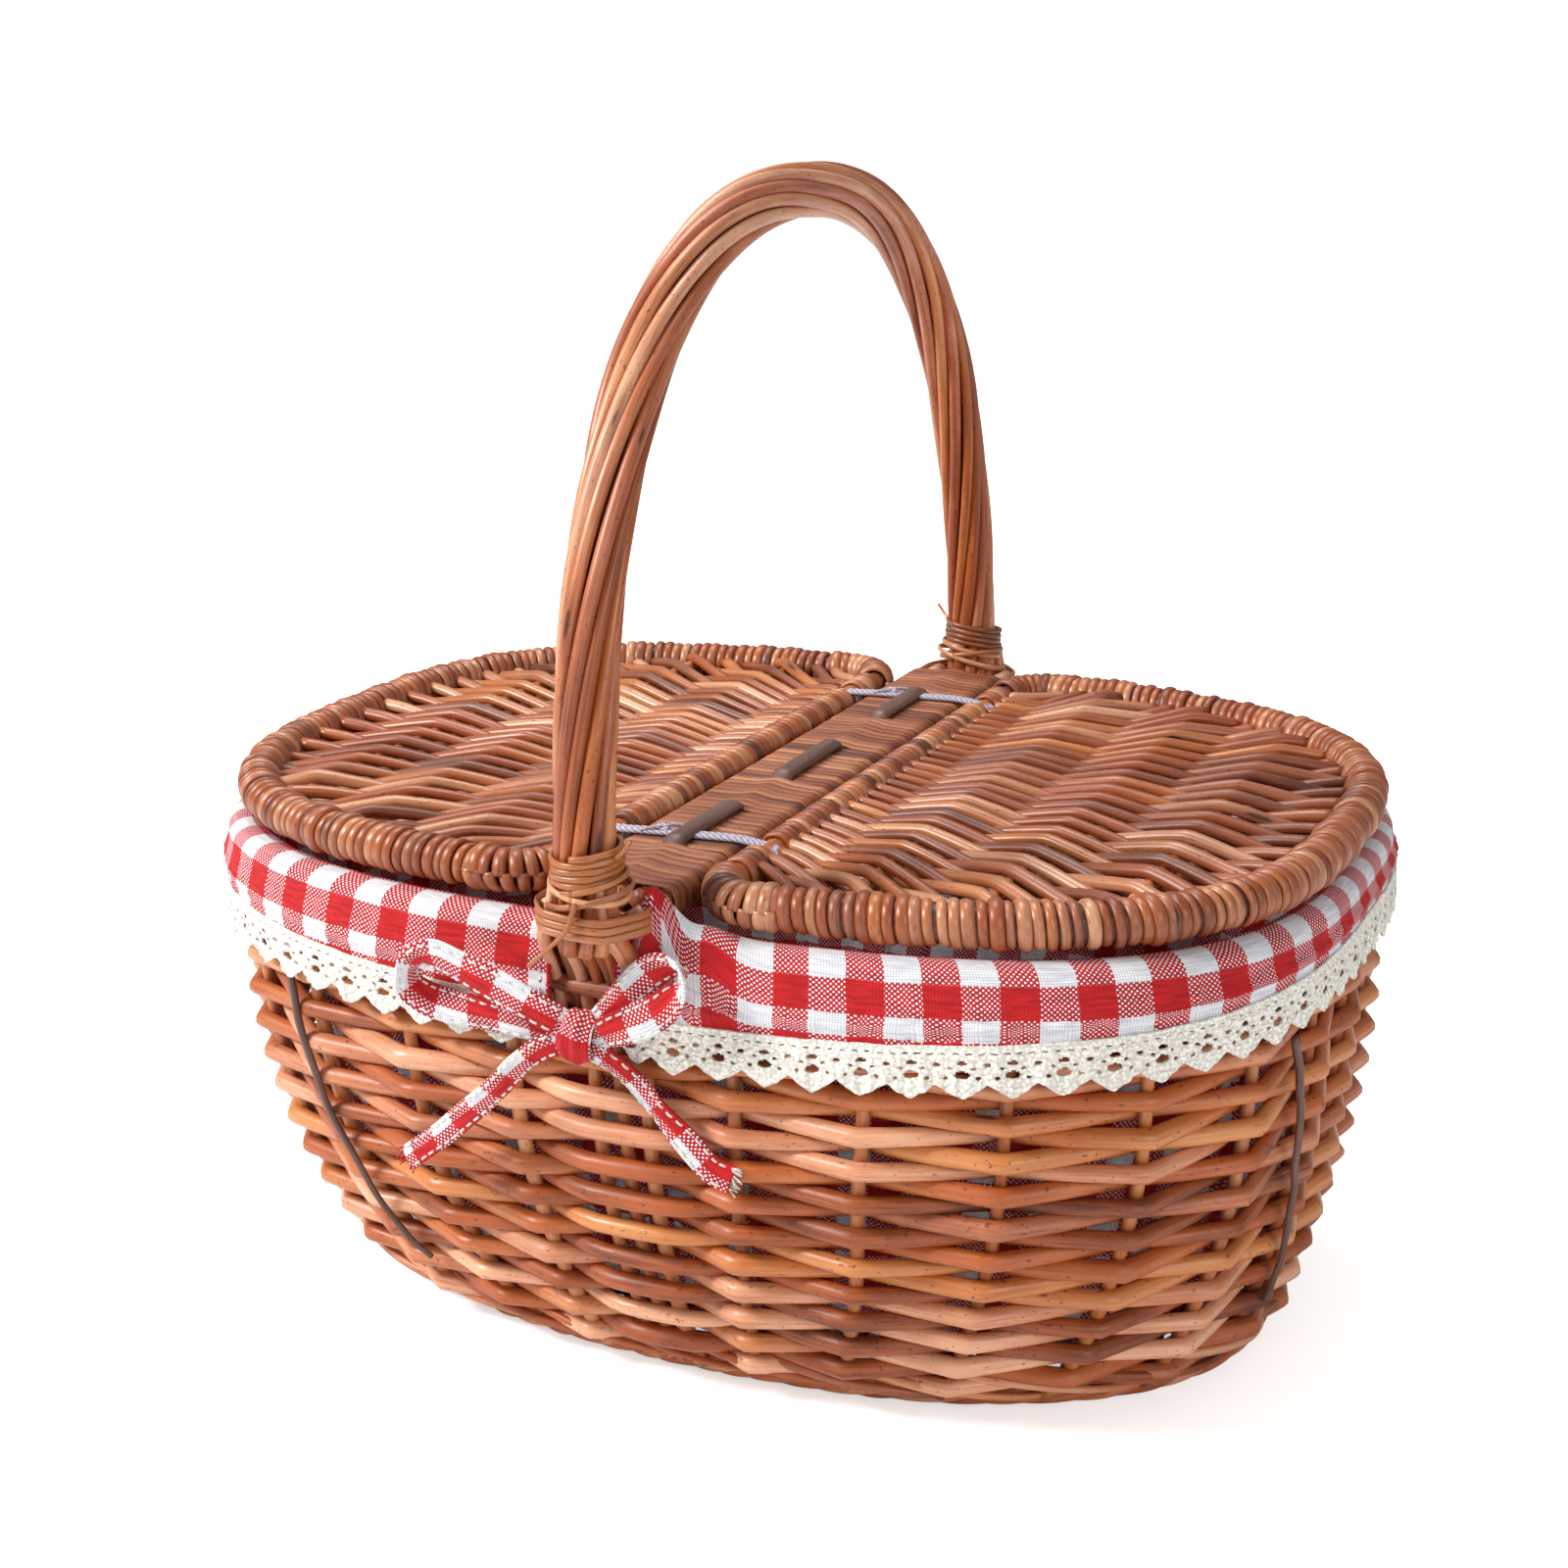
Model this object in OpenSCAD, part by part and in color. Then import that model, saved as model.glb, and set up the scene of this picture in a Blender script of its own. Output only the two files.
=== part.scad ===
// Two-lid willow picnic basket: oval woven body, fixed arched handle, centre bar and two hinged lids.
// +X runs from lid to lid, +Y from handle foot to handle foot, +Z up. Z = 0 is the surface it stands on.

/* [Body] */
// Half length of the body outside, at the rim
rim_a = 203; // [150:1:260]
// Half width of the body outside, at the rim
rim_b = 157; // [120:1:200]
// Half length of the body outside, at the base
base_a = 173; // [120:1:220]
// Half width of the body outside, at the base
base_b = 106; // [80:1:150]
// Height of the woven wall's top edge
wall_top = 166; // [110:1:240]
// Thickness of the woven wall
wall_t = 12; // [8:0.5:16]
// Squareness of the rim's oval (2 is an ellipse)
rim_n = 2.9; // [2:0.05:4]
// Squareness of the base's oval
base_n = 2.25; // [2:0.05:4]
// How soon the wall swells out above the base
swell = 2.6; // [1:0.1:4]
// Upright stakes round the wall
stake_count = 28; // [16:4:40]
// Radius of a stake
stake_r = 2.6; // [1.5:0.1:4]
// Angle from a handle foot to the extra stake each side of it
foot_stake_angle = 4; // [3:0.5:5]
// How far the stakes stop inside the wall's two edges
stake_inset = 1; // [0.5:0.5:4]
// Radius of the rim's plaited border
border_r = 5.5; // [4:0.1:8]

/* [Base] */
// Height of the foot border that the basket stands on
foot_h = 8; // [5:0.5:14]
// Width of the foot border
foot_w = 14; // [8:0.5:20]
// How far the woven bottom sits down inside the foot border
bottom_sink = 2; // [0.5:0.5:4]
// Thickness of the woven bottom
bottom_t = 6; // [4:0.5:10]
// Cross sticks under the bottom
base_stick_count = 9; // [5:2:13]
// Radius of a cross stick
base_stick_r = 2.3; // [1.5:0.1:2.4]

/* [Handle] */
// Rise of the arch's centreline above its feet
arch_rise = 211; // [120:1:300]
// Squareness of the arch (2 is an ellipse)
arch_n = 2.4; // [2:0.05:4]
// Radius of the core inside the twisted rods
core_r = 4.9; // [3:0.1:8]
// Radius of a twisted rod
twist_rod_r = 2.35; // [1.5:0.05:3]
// Twisted rods round the core
twist_rods = 10; // [8:1:12]
// Turns that the rods make from foot to foot
twist_turns = 1.2; // [0:0.1:3]
// Height of the handle's feet above the border
leg_lift = 3; // [1:0.5:8]
// Height of each cane binding above the handle's foot
binding_lift = 16; // [4:1:30]
// Height of each cane binding
binding_h = 16; // [8:1:30]
// Thickness of a cane binding
binding_t = 2; // [1:0.1:4]
// Rods that fan out over the wall below each foot
tail_rods = 5; // [3:2:7]
// Radius of a fanned rod
tail_r = 2.2; // [1.5:0.1:2.6]
// Length that the fanned rods reach down the wall
tail_len = 58; // [30:1:90]
// Distance between the fanned rods at their lower ends
tail_pitch = 4.8; // [4.6:0.1:6]
// How far the fanned rods lean to the left at their lower ends
tail_lean = 3; // [0:0.5:8]

/* [Bar] */
// Sticks side by side in the centre bar
bar_sticks_n = 5; // [3:2:7]
// Radius of a bar stick
bar_stick_r = 3.6; // [2.5:0.1:4.5]
// Thickness of the cane wrapped round the bar
bar_wrap_t = 2; // [1:0.1:3]
// Width of the dark stick woven along the bar
dark_w = 7; // [4:0.5:10]
// Thickness of the dark stick where it passes over the twine
dark_t = 2; // [1:0.1:3]
// How far the dark stick stops inside the bar's ends
dark_inset = 6; // [2:1:20]
// How far the wrapped bar stops inside the body's sides
bar_inset = 7; // [4:0.5:20]
// Thickness of the cane strap at each end of the bar
strap_t = 1.6; // [1:0.1:3]
// Height of that strap
strap_h = 6; // [4:0.5:10]
// How far that strap runs along the outer sticks
strap_run = 12; // [8:1:20]

/* [Lids] */
// Radius of the wrapped hoop round each lid
hoop_r = 8.5; // [6:0.1:11]
// Radius of the hoop at its two corners
corner_tube_r = 6; // [4:0.1:8]
// Bend radius of the two corners
corner_bend_r = 18; // [12:1:28]
// Run over which the hoop thickens from its corners
taper_run = 30; // [15:1:60]
// How far the lids stop inside the body's ends
lid_inset_x = 3; // [0:0.5:10]
// How far the lids stop inside the body's sides
lid_inset_y = 1; // [0:0.5:10]
// Radius of a hinge rod
hinge_rod_r = 4.5; // [3:0.1:6]
// Thickness of the weave turned round a hinge rod
turn_t = 2; // [1:0.1:3]
// Thickness of the woven lid
lid_t = 9; // [6:0.5:14]
// Ribs in each lid
rib_count = 3; // [2:1:5]
// Radius of a rib
rib_r = 2.4; // [1.5:0.1:3.5]
// Twine lashings stand this far each side of the middle
lash_y = 100; // [60:1:120]
// Width of a twine lashing
lash_w = 5; // [3:0.5:8]
// Thickness of a twine lashing
lash_t = 1.4; // [0.8:0.1:2.5]

/* [Liner] */
// Thickness of the liner cloth as it lies
cloth_t = 1.2; // [0.6:0.1:2]
// How far the gingham hangs below the border's top
skirt_drop = 28; // [18:1:60]
// Depth of the crochet lace
lace_drop = 17; // [8:1:30]
// Half width of the slit at each handle foot
slit_half = 20; // [18:1:40]
// How far the hanging cloth stands off the wall
drape = 0.6; // [0.2:0.1:3]
// Half width of each tied bow
bow_half_w = 68; // [30:1:75]
// Height of a bow's loop above its knot
bow_loop_h = 22; // [12:1:30]
// Drop of the bow's loose ends below its knot
bow_drop = 60; // [30:1:70]
// Radius of a bow's knot
knot_r = 9; // [5:0.5:14]
// How far a bow stands off the cloth
bow_stand = 5; // [4:0.5:10]
// Thickness of each tied bow
bow_t = 5; // [3:0.5:8]

/* [Clearance] */
// Gap between cloth and willow
cloth_gap = 0.5; // [0.3:0.1:1.5]
// Gap between the liner's bag and the wall round it
bag_gap = 1.3; // [1:0.1:3]
// Gap between a lid and what it closes on or swings past
lid_gap = 0.9; // [0.5:0.1:3]
// Radial gap of a twine loop on its hinge rod
loop_gap = 0.4; // [0.2:0.05:1]
// Gap between a handle leg and the border
leg_gap = 1.4; // [0.5:0.1:4]
// Radial gap between the twisted rods and their core
core_gap = 0.45; // [0.2:0.05:1]
// Radial gap inside a cane binding
binding_gap = 1.2; // [0.8:0.1:3]
// Gap between the bar's sticks
stick_gap = 0.2; // [0.1:0.05:0.5]
// Gap between the bar's sticks and the cane round them
bar_fit = 0.4; // [0.2:0.1:1]
// Gap between a strap and the handle leg inside it
strap_gap = 1; // [0.5:0.1:2]
// Gap between the bar and the weave turned round a hinge rod
hinge_gap = 1.2; // [0.8:0.1:3]
// Gap round a twine loop in the weave's notch
notch_gap = 0.8; // [0.5:0.1:2]
// Gap between a fanned rod and the wall
tail_gap = 1.2; // [0.5:0.1:3]
// Gap at the ends of sticks and ribs
end_gap = 2; // [1:0.5:4]
// Small gap between pieces laid side by side
snug = 0.1; // [0.05:0.01:0.3]

/* [Hidden] */

$fn = 48;
around = 64;               // points round each oval
wall_rows = 8;             // rings up the wall
row_crowding = 1.3;        // draws the rings down towards the base
end_crowding = 1.7;        // draws points of a lid towards its round end
hoop_steps = 18;           // points along half a hoop
cloth_steps = 40;          // points along each skirt
oval_balance = 0.86;       // evens out the spacing of points round an oval
willow = "#b4683c";
willow_dark = "#96522f";
cane = "#c98a55";
grey_stick = "#5a4a44";
twine = "#b4aab9";
gingham = "#d8646a";
lace = "#ebe6dc";

border_z = wall_top + border_r;
border_top = border_z + border_r;
cloth_top = border_top + cloth_gap + cloth_t;
leg_base_z = border_top + leg_lift;
bundle_ring_r = max(core_r + twist_rod_r + core_gap, (twist_rod_r + snug / 2) / sin(180 / twist_rods));
bundle_r = bundle_ring_r + twist_rod_r;
foot_line = rim_b - wall_t / 2 + border_r + leg_gap + bundle_r;
stick_pitch = 2 * bar_stick_r + stick_gap;
outmost_stick = (bar_sticks_n - 1) / 2 * stick_pitch;
bar_cavity_x = outmost_stick + bar_stick_r + bar_fit;
bar_cavity_z = bar_stick_r + bar_fit;
bar_half_w = bar_cavity_x + bar_wrap_t;
bar_half_h = bar_cavity_z + bar_wrap_t;
bar_len_half = rim_b - bar_inset;
bar_z = cloth_top + lid_gap + bar_half_h;
bar_top = bar_z + bar_half_h;
lid_z = cloth_top + lid_gap + hoop_r;
hoop_a = rim_a - lid_inset_x - hoop_r;
hoop_b = rim_b - lid_inset_y - hoop_r;
skirt_low = border_top - skirt_drop;
hinge_x = bar_half_w + hinge_gap + hinge_rod_r + turn_t;
bottom_z = foot_h - bottom_sink;
bag_floor_z = bottom_z + bottom_t + cloth_gap;
hang_off = cloth_gap + drape;

// Swell of the wall at height z: 0 at the base, 1 at the top.
function rise(z) = 1 - pow(1 - min(max(z / wall_top, 0), 1), swell);
// Outer half length, half width and squareness of the wall at height z.
function wall_a(z) = base_a + (rim_a - base_a) * rise(z);
function wall_b(z) = base_b + (rim_b - base_b) * rise(z);
function wall_n(z) = base_n + (rim_n - base_n) * rise(z);
// Point on an oval of half length a, half width b and squareness n, towards angle t.
function oval(a, b, n, t) =
    let (v = [cos(t), oval_balance * sin(t)],
         k = pow(pow(abs(v[0]) / a, n) + pow(abs(v[1]) / b, n), 1 / n))
    v / k;
// Point on the wall at angle t and height z, moved out by off.
function wall_at(t, z, off) =
    let (p = oval(wall_a(z) + off, wall_b(z) + off, wall_n(z), t))
    [p[0], p[1], z];
// Ring of points round the wall at height z, moved out by off.
function wall_ring(z, off) = [for (j = [0 : around - 1]) wall_at(360 * j / around, z, off)];
function wall_heights() =
    [for (i = [0 : wall_rows]) foot_h + (wall_top - foot_h) * pow(i / wall_rows, row_crowding)];
function oval_outline(a, b, n) = [for (i = [0 : around - 1]) oval(a, b, n, 360 * i / around)];
function unit(v) = v / norm(v);
// Point of the arch's centreline at angle u, 0 at the front foot and 180 at the back one.
function arch_at(u) =
    [0,
     -foot_line * sign(cos(u)) * pow(abs(cos(u)), 2 / arch_n),
     leg_base_z + arch_rise * pow(sin(u), 2 / arch_n)];
// Half width of a lid's hoop at distance x from the middle.
function hoop_y(x) = hoop_b * pow(1 - pow(x / hoop_a, rim_n), 1 / rim_n);

// Skin between stacked rings of equal length, closed at both ends.
module loft(rings) {
    m = len(rings[0]);
    n = len(rings);
    points = [for (ring = rings) for (p = ring) p];
    walls = [for (i = [0 : n - 2]) for (j = [0 : m - 1])
        [i * m + j, i * m + (j + 1) % m, (i + 1) * m + (j + 1) % m, (i + 1) * m + j]];
    caps = [[for (j = [m - 1 : -1 : 0]) j], [for (j = [0 : m - 1]) (n - 1) * m + j]];
    polyhedron(points = points, faces = concat(walls, caps), convexity = 6);
}

// Skin round a closed chain of rings, the last joined to the first.
module loft_loop(rings) {
    m = len(rings[0]);
    n = len(rings);
    points = [for (ring = rings) for (p = ring) p];
    walls = [for (i = [0 : n - 1]) for (j = [0 : m - 1])
        [i * m + j, i * m + (j + 1) % m, ((i + 1) % n) * m + (j + 1) % m, ((i + 1) % n) * m + j]];
    polyhedron(points = points, faces = walls, convexity = 6);
}

// Round section of radius r about c, square to direction d.
function section(c, d, r, sides, up) =
    let (t = unit(d), s = unit(cross(t, up)), u = cross(s, t))
    [for (j = [0 : sides - 1]) c + r * (cos(360 * j / sides) * s + sin(360 * j / sides) * u)];

// Rod along an open path; radius is a list with one value for each point.
module rod(path, radius, sides = 8, up = [0, 0, 1]) {
    last_i = len(path) - 1;
    loft([for (i = [0 : last_i])
        section(path[i], path[min(i + 1, last_i)] - path[max(i - 1, 0)], radius[i], sides, up)]);
}

// Rod of one radius along a closed path.
module ring_rod(path, radius, sides = 8) {
    n = len(path);
    loft_loop([for (i = [0 : n - 1])
        section(path[i], path[(i + 1) % n] - path[(i + n - 1) % n], radius, sides, [0, 0, 1])]);
}

// Wall strip between two angles: profile lists [height, offset] pairs of its closed section, anticlockwise.
module wall_strip(profile, from, to, steps) {
    loft([for (i = [0 : steps])
        let (t = from + (to - from) * i / steps)
        [for (q = profile) wall_at(t, q[0], q[1])]]);
}

module foot_border() {
    color(willow_dark)
    linear_extrude(foot_h)
    difference() {
        polygon(oval_outline(base_a, base_b, base_n));
        polygon(oval_outline(base_a - foot_w, base_b - foot_w, base_n));
    }
}

module base_weave() {
    color(willow)
    translate([0, 0, bottom_z])
    linear_extrude(bottom_t)
    polygon(oval_outline(base_a - foot_w - snug, base_b - foot_w - snug, base_n));
}

module base_sticks() {
    inner_a = base_a - foot_w;
    inner_b = base_b - foot_w;
    pitch = 2 * inner_a / (base_stick_count + 1);
    color(willow_dark)
    for (i = [1 : base_stick_count]) {
        x = -inner_a + i * pitch;
        reach = inner_b * pow(1 - pow((abs(x) + base_stick_r) / inner_a, base_n), 1 / base_n) - end_gap;
        translate([x, reach, bottom_z - snug - base_stick_r])
        rotate([90, 0, 0])
        cylinder(r = base_stick_r, h = 2 * reach);
    }
}

module side_stakes() {
    steps = 6;
    lowest = foot_h + stake_inset;
    highest = wall_top - stake_inset;
    color(willow_dark)
    for (t = concat([for (i = [0 : stake_count - 1]) 360 * i / stake_count],
                    [for (side = [90, 270]) for (a = [-1, 1]) side + a * foot_stake_angle])) {
        path = [for (i = [0 : steps])
            wall_at(t, lowest + (highest - lowest) * i / steps, -wall_t / 2)];
        rod(path, [for (p = path) stake_r], 6, [cos(t), sin(t), 0]);
    }
}

module side_weave() {
    heights = wall_heights();
    color(willow)
    loft_loop(concat(
        [for (z = heights) wall_ring(z, 0)],
        [for (i = [wall_rows : -1 : 0]) wall_ring(heights[i], -wall_t)]));
}

module rim_border() {
    color(willow_dark)
    ring_rod([for (p = oval_outline(rim_a - wall_t / 2, rim_b - wall_t / 2, rim_n)) [p[0], p[1], border_z]],
             border_r, 12);
}

function arch_path(steps) = [for (i = [0 : steps]) arch_at(180 * i / steps)];

module handle_core() {
    path = arch_path(48);
    color(willow_dark)
    rod(path, [for (p = path) core_r], 12, [1, 0, 0]);
}

module handle_rods() {
    steps = 44;
    color(willow)
    for (k = [0 : twist_rods - 1]) {
        path = [for (i = [0 : steps])
            let (u = 180 * i / steps,
                 c = arch_at(u),
                 d = unit(arch_at(min(u + 1, 180)) - arch_at(max(u - 1, 0))),
                 out = cross(d, [1, 0, 0]),
                 turn = 360 * (k / twist_rods + twist_turns * i / steps))
            c + bundle_ring_r * (cos(turn) * [1, 0, 0] + sin(turn) * out)];
        rod(path, [for (p = path) twist_rod_r], 6, [1, 0, 0]);
    }
}

module handle_binding() {
    inner = bundle_r + binding_gap;
    color(cane)
    translate([0, -foot_line, leg_base_z + binding_lift])
    difference() {
        cylinder(r = inner + binding_t, h = binding_h);
        translate([0, 0, -1]) cylinder(r = inner, h = binding_h + 2);
    }
}

module handle_tails() {
    steps = 7;
    top_z = leg_base_z - 0.6 * tail_r;
    top_pitch = 2 * tail_r + snug;
    // On the wall below its top, and out under the handle's foot above it.
    function tail_y(z) =
        let (on_wall = wall_b(min(z, wall_top)) + tail_r + tail_gap,
             f = max(z - wall_top, 0) / (leg_base_z - wall_top))
        -on_wall - (foot_line - on_wall) * f;
    color(willow)
    for (k = [0 : tail_rods - 1]) {
        place = k - (tail_rods - 1) / 2;
        path = [for (i = [0 : steps])
            let (f = i / steps, z = top_z - tail_len * f)
            [place * (top_pitch + (tail_pitch - top_pitch) * f) - tail_lean * f, tail_y(z), z]];
        rod(path, [for (p = path) tail_r], 6, [0, 1, 0]);
    }
}

module bar_sticks() {
    side_i = (bar_sticks_n - 1) / 2;
    color(willow_dark)
    for (i = [-side_i : side_i]) {
        reach = abs(i) == side_i ? foot_line : bar_len_half;
        translate([i * stick_pitch, reach, bar_z])
        rotate([90, 0, 0])
        cylinder(r = bar_stick_r, h = 2 * reach);
    }
}

module bar_wrap() {
    half = bar_len_half - snug * 10;
    color(cane)
    translate([0, half, bar_z])
    rotate([90, 0, 0])
    linear_extrude(2 * half)
    difference() {
        square([2 * bar_half_w, 2 * bar_half_h], center = true);
        square([2 * bar_cavity_x, 2 * bar_cavity_z], center = true);
    }
}

module bar_dark_stick() {
    half = bar_len_half - dark_inset;
    sunk = 1;
    color(grey_stick)
    difference() {
        translate([-dark_w / 2, -half, bar_top])
        cube([dark_w, 2 * half, lash_t + dark_t]);
        for (side = [-1, 1])
            translate([-dark_w, side * lash_y - lash_w / 2 - snug, bar_top - sunk])
            cube([2 * dark_w, lash_w + 2 * snug, sunk + lash_t + 3 * snug]);
    }
}

// Cane strap round a handle leg that holds the ends of the two outer bar sticks.
module bar_lashing() {
    stick_out = outmost_stick + bar_stick_r + snug;
    knee = 2;
    behind = bundle_r + strap_gap;
    function strap_outline(grow) = [
        [-stick_out - grow, strap_run], [-stick_out - grow, -knee],
        [-bundle_r - grow, -behind - grow], [bundle_r + grow, -behind - grow],
        [stick_out + grow, -knee], [stick_out + grow, strap_run]];
    color(cane)
    translate([0, -foot_line, bar_z - strap_h / 2])
    linear_extrude(strap_h)
    difference() {
        polygon(strap_outline(strap_t));
        polygon(strap_outline(0));
    }
}

module hinge_cord() {
    ring_in = hinge_rod_r + loop_gap;
    bridge = [2, 4];
    color(twine)
    translate([0, lash_w / 2 - lash_y, 0])
    rotate([90, 0, 0])
    linear_extrude(lash_w)
    difference() {
        union() {
            translate([0, bar_z])
            square([2 * (bar_half_w + lash_t), 2 * (bar_half_h + lash_t)], center = true);
            for (side = [-1, 1]) {
                translate([side * hinge_x, lid_z]) circle(r = ring_in + lash_t);
                translate([side * (bar_half_w + lash_t), lid_z]) square(bridge, center = true);
            }
        }
        translate([0, bar_z]) square([2 * (bar_half_w + snug), 2 * (bar_half_h + snug)], center = true);
        for (side = [-1, 1])
            translate([side * hinge_x, lid_z]) circle(r = ring_in);
    }
}

// The bag bends at the wall's own heights, so that it stays clear of the wall.
module liner_bag() {
    top = wall_top - cloth_gap;
    out_off = -wall_t - bag_gap;
    bends = [for (z = wall_heights()) if (z > bag_floor_z + 2 * cloth_t && z < top) z];
    heights = concat([bag_floor_z], bends, [top]);
    inside = concat([bag_floor_z + cloth_t], bends, [top]);
    color(gingham)
    loft(concat(
        [for (z = heights) wall_ring(z, out_off)],
        [for (i = [len(inside) - 1 : -1 : 0]) wall_ring(inside[i], out_off - cloth_t)]));
}

// Section of the cloth: over the rim's border and down the outside of the wall.
function skirt_section() =
    let (mid = -wall_t / 2,
         r_in = border_r + cloth_gap,
         r_out = r_in + cloth_t,
         turn_z = wall_top - 4,
         far = hang_off + cloth_t,
         over = [for (a = [180 : -30 : 0]) [border_z + r_out * sin(a), mid + r_out * cos(a)]],
         under = [for (a = [0 : 30 : 180]) [border_z + r_in * sin(a), mid + r_in * cos(a)]])
    concat(over, [[turn_z, far], [skirt_low, far], [skirt_low, hang_off], [turn_z, hang_off]], under);

// Angle, from the lid's end, at which the cloth stops short of a handle foot.
skirt_stop = 90 - atan2(slit_half * oval_balance, rim_b);

module liner_skirt() {
    color(gingham)
    wall_strip(skirt_section(), -skirt_stop, skirt_stop, cloth_steps);
}

module lace_band() {
    top = skirt_low - snug;
    low = top - lace_drop;
    far = hang_off + cloth_t;
    profile = [[top, hang_off], [top, far], [low, far], [low, hang_off]];
    color(lace)
    wall_strip(profile, -skirt_stop, skirt_stop, cloth_steps);
}

module tie_bow() {
    knot_z = skirt_low - 8;
    waist = 5;
    color(gingham)
    translate([0, -rim_b - cloth_gap - cloth_t - bow_stand, knot_z])
    rotate([90, 0, 0])
    linear_extrude(bow_t)
    union() {
        circle(r = knot_r);
        for (side = [-1, 1]) {
            polygon([[0, -waist], [side * bow_half_w * 0.8, 0], [side * bow_half_w, bow_loop_h / 2],
                     [side * bow_half_w * 0.75, bow_loop_h], [0, waist]]);
            polygon([[side * 2, -waist], [side * 8, 2], [side * bow_half_w * 0.9, -bow_drop * 0.8],
                     [side * bow_half_w * 0.76, -bow_drop]]);
        }
    }
}

function corner_x() = hinge_x + corner_bend_r;
function corner_y() = hoop_y(corner_x()) - corner_bend_r;

// Distances along a lid from its corner to its round end, closer together towards that end.
function lid_xs(from, to) =
    [for (i = [0 : hoop_steps - 1]) to - (to - from) * pow(1 - i / hoop_steps, end_crowding)];
function flip_y(path) = [for (i = [len(path) - 1 : -1 : 0]) [path[i][0], -path[i][1], path[i][2]]];

// Centreline of a lid's hoop from the front end of the hinge rod round to the back end.
function hoop_path() =
    let (cx = corner_x(),
         cy = corner_y(),
         r = corner_bend_r,
         bend = [for (a = [180 : 15 : 255]) [cx + r * cos(a), r * sin(a) - cy, lid_z]],
         half = concat(bend, [for (x = lid_xs(cx, hoop_a)) [x, -hoop_y(x), lid_z]]))
    concat(half, [[hoop_a, 0, lid_z]], flip_y(half));

// The hoop thickens from its corners to its full size over this run.
function hoop_radius(x) =
    let (f = min(max((x - corner_x()) / taper_run, 0), 1))
    corner_tube_r + (hoop_r - corner_tube_r) * f;

module lid_hoop() {
    path = hoop_path();
    color(willow_dark)
    rod(path, [for (p = path) hoop_radius(p[0])], 10);
}

// The rod stops short of the hoop's two slanting ends.
function rod_reach() = corner_y() - end_gap / 2;

module lid_hinge_rod() {
    color(willow)
    translate([hinge_x, rod_reach(), lid_z])
    rotate([90, 0, 0])
    cylinder(r = hinge_rod_r, h = 2 * rod_reach());
}

function rib_x(i) = hinge_x + (hoop_a - hinge_x) * i / (rib_count + 1);
function rib_reach(i) = hoop_y(rib_x(i) + rib_r) - hoop_r * 1.35 - end_gap;

module lid_ribs() {
    color(willow_dark)
    for (i = [1 : rib_count])
        translate([rib_x(i), rib_reach(i), lid_z])
        rotate([90, 0, 0])
        cylinder(r = rib_r, h = 2 * rib_reach(i));
}

// Outline of the woven panel inside the hoop.
function panel_outline() =
    let (inset = hoop_r + 6 * snug,
         a = hoop_a - inset,
         b = hoop_b - inset,
         cx = corner_x(),
         cy = corner_y(),
         r = corner_bend_r - inset,
         bend = [for (q = [180 : 18 : 252]) [cx + r * cos(q), r * sin(q) - cy]],
         run = [for (x = lid_xs(cx, a)) if (x > cx + 3) [x, -b * pow(1 - pow(x / a, rim_n), 1 / rim_n)]],
         half = concat(bend, run))
    concat(half, [[a, 0]], [for (i = [len(half) - 1 : -1 : 0]) [half[i][0], -half[i][1]]]);

module lid_weave() {
    turn_r = hinge_rod_r + turn_t;
    turn_end = corner_y() - end_gap;
    notch_w = lash_w + 3;
    notch_r = hinge_rod_r + loop_gap + lash_t + notch_gap;
    neck_t = 8;
    color(willow)
    difference() {
        union() {
            translate([0, 0, lid_z - lid_t / 2]) linear_extrude(lid_t) polygon(panel_outline());
            translate([hinge_x, turn_end, lid_z]) rotate([90, 0, 0]) cylinder(r = turn_r, h = 2 * turn_end);
            translate([hinge_x, -turn_end, lid_z - neck_t / 2]) cube([corner_bend_r, 2 * turn_end, neck_t]);
        }
        translate([hinge_x, corner_y() + end_gap, lid_z])
        rotate([90, 0, 0])
        cylinder(r = hinge_rod_r + snug / 2, h = 2 * (corner_y() + end_gap));
        for (side = [-1, 1])
            translate([hinge_x, side * lash_y + notch_w / 2, lid_z])
            rotate([90, 0, 0])
            cylinder(r = notch_r, h = notch_w);
        for (i = [1 : rib_count])
            translate([rib_x(i), rib_reach(i) + snug, lid_z])
            rotate([90, 0, 0])
            cylinder(r = rib_r + snug / 2, h = 2 * (rib_reach(i) + snug));
    }
}

module lid_corner_bindings() {
    color(cane)
    for (side = [-1, 1])
        translate([corner_x(), side * corner_y(), lid_z])
        rotate([0, 0, side > 0 ? 90 : 180])
        rotate_extrude(angle = 90)
        translate([corner_bend_r, 0])
        difference() {
            circle(r = corner_tube_r + 1);
            circle(r = corner_tube_r + snug);
        }
}

module at_back() { rotate([0, 0, 180]) children(); }
module at_left() { mirror([1, 0, 0]) children(); }

foot_border();
base_weave();
base_sticks();
side_stakes();
side_weave();
rim_border();
handle_core();
handle_rods();
handle_binding();  // handle_binding_front
at_back() handle_binding();  // handle_binding_back
handle_tails();  // handle_tails_front
at_back() handle_tails();  // handle_tails_back
bar_sticks();
bar_wrap();
bar_dark_stick();
bar_lashing();  // bar_lashing_front
at_back() bar_lashing();  // bar_lashing_back
hinge_cord();  // hinge_cord_front
at_back() hinge_cord();  // hinge_cord_back
liner_bag();
at_left() liner_skirt();  // liner_skirt_left
liner_skirt();  // liner_skirt_right
at_left() lace_band();  // lace_left
lace_band();  // lace_right
tie_bow();  // tie_bow_front
at_back() tie_bow();  // tie_bow_back
at_left() lid_hoop();  // left_lid_hoop
at_left() lid_hinge_rod();  // left_lid_hinge_rod
at_left() lid_ribs();  // left_lid_ribs
at_left() lid_weave();  // left_lid_weave
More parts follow.
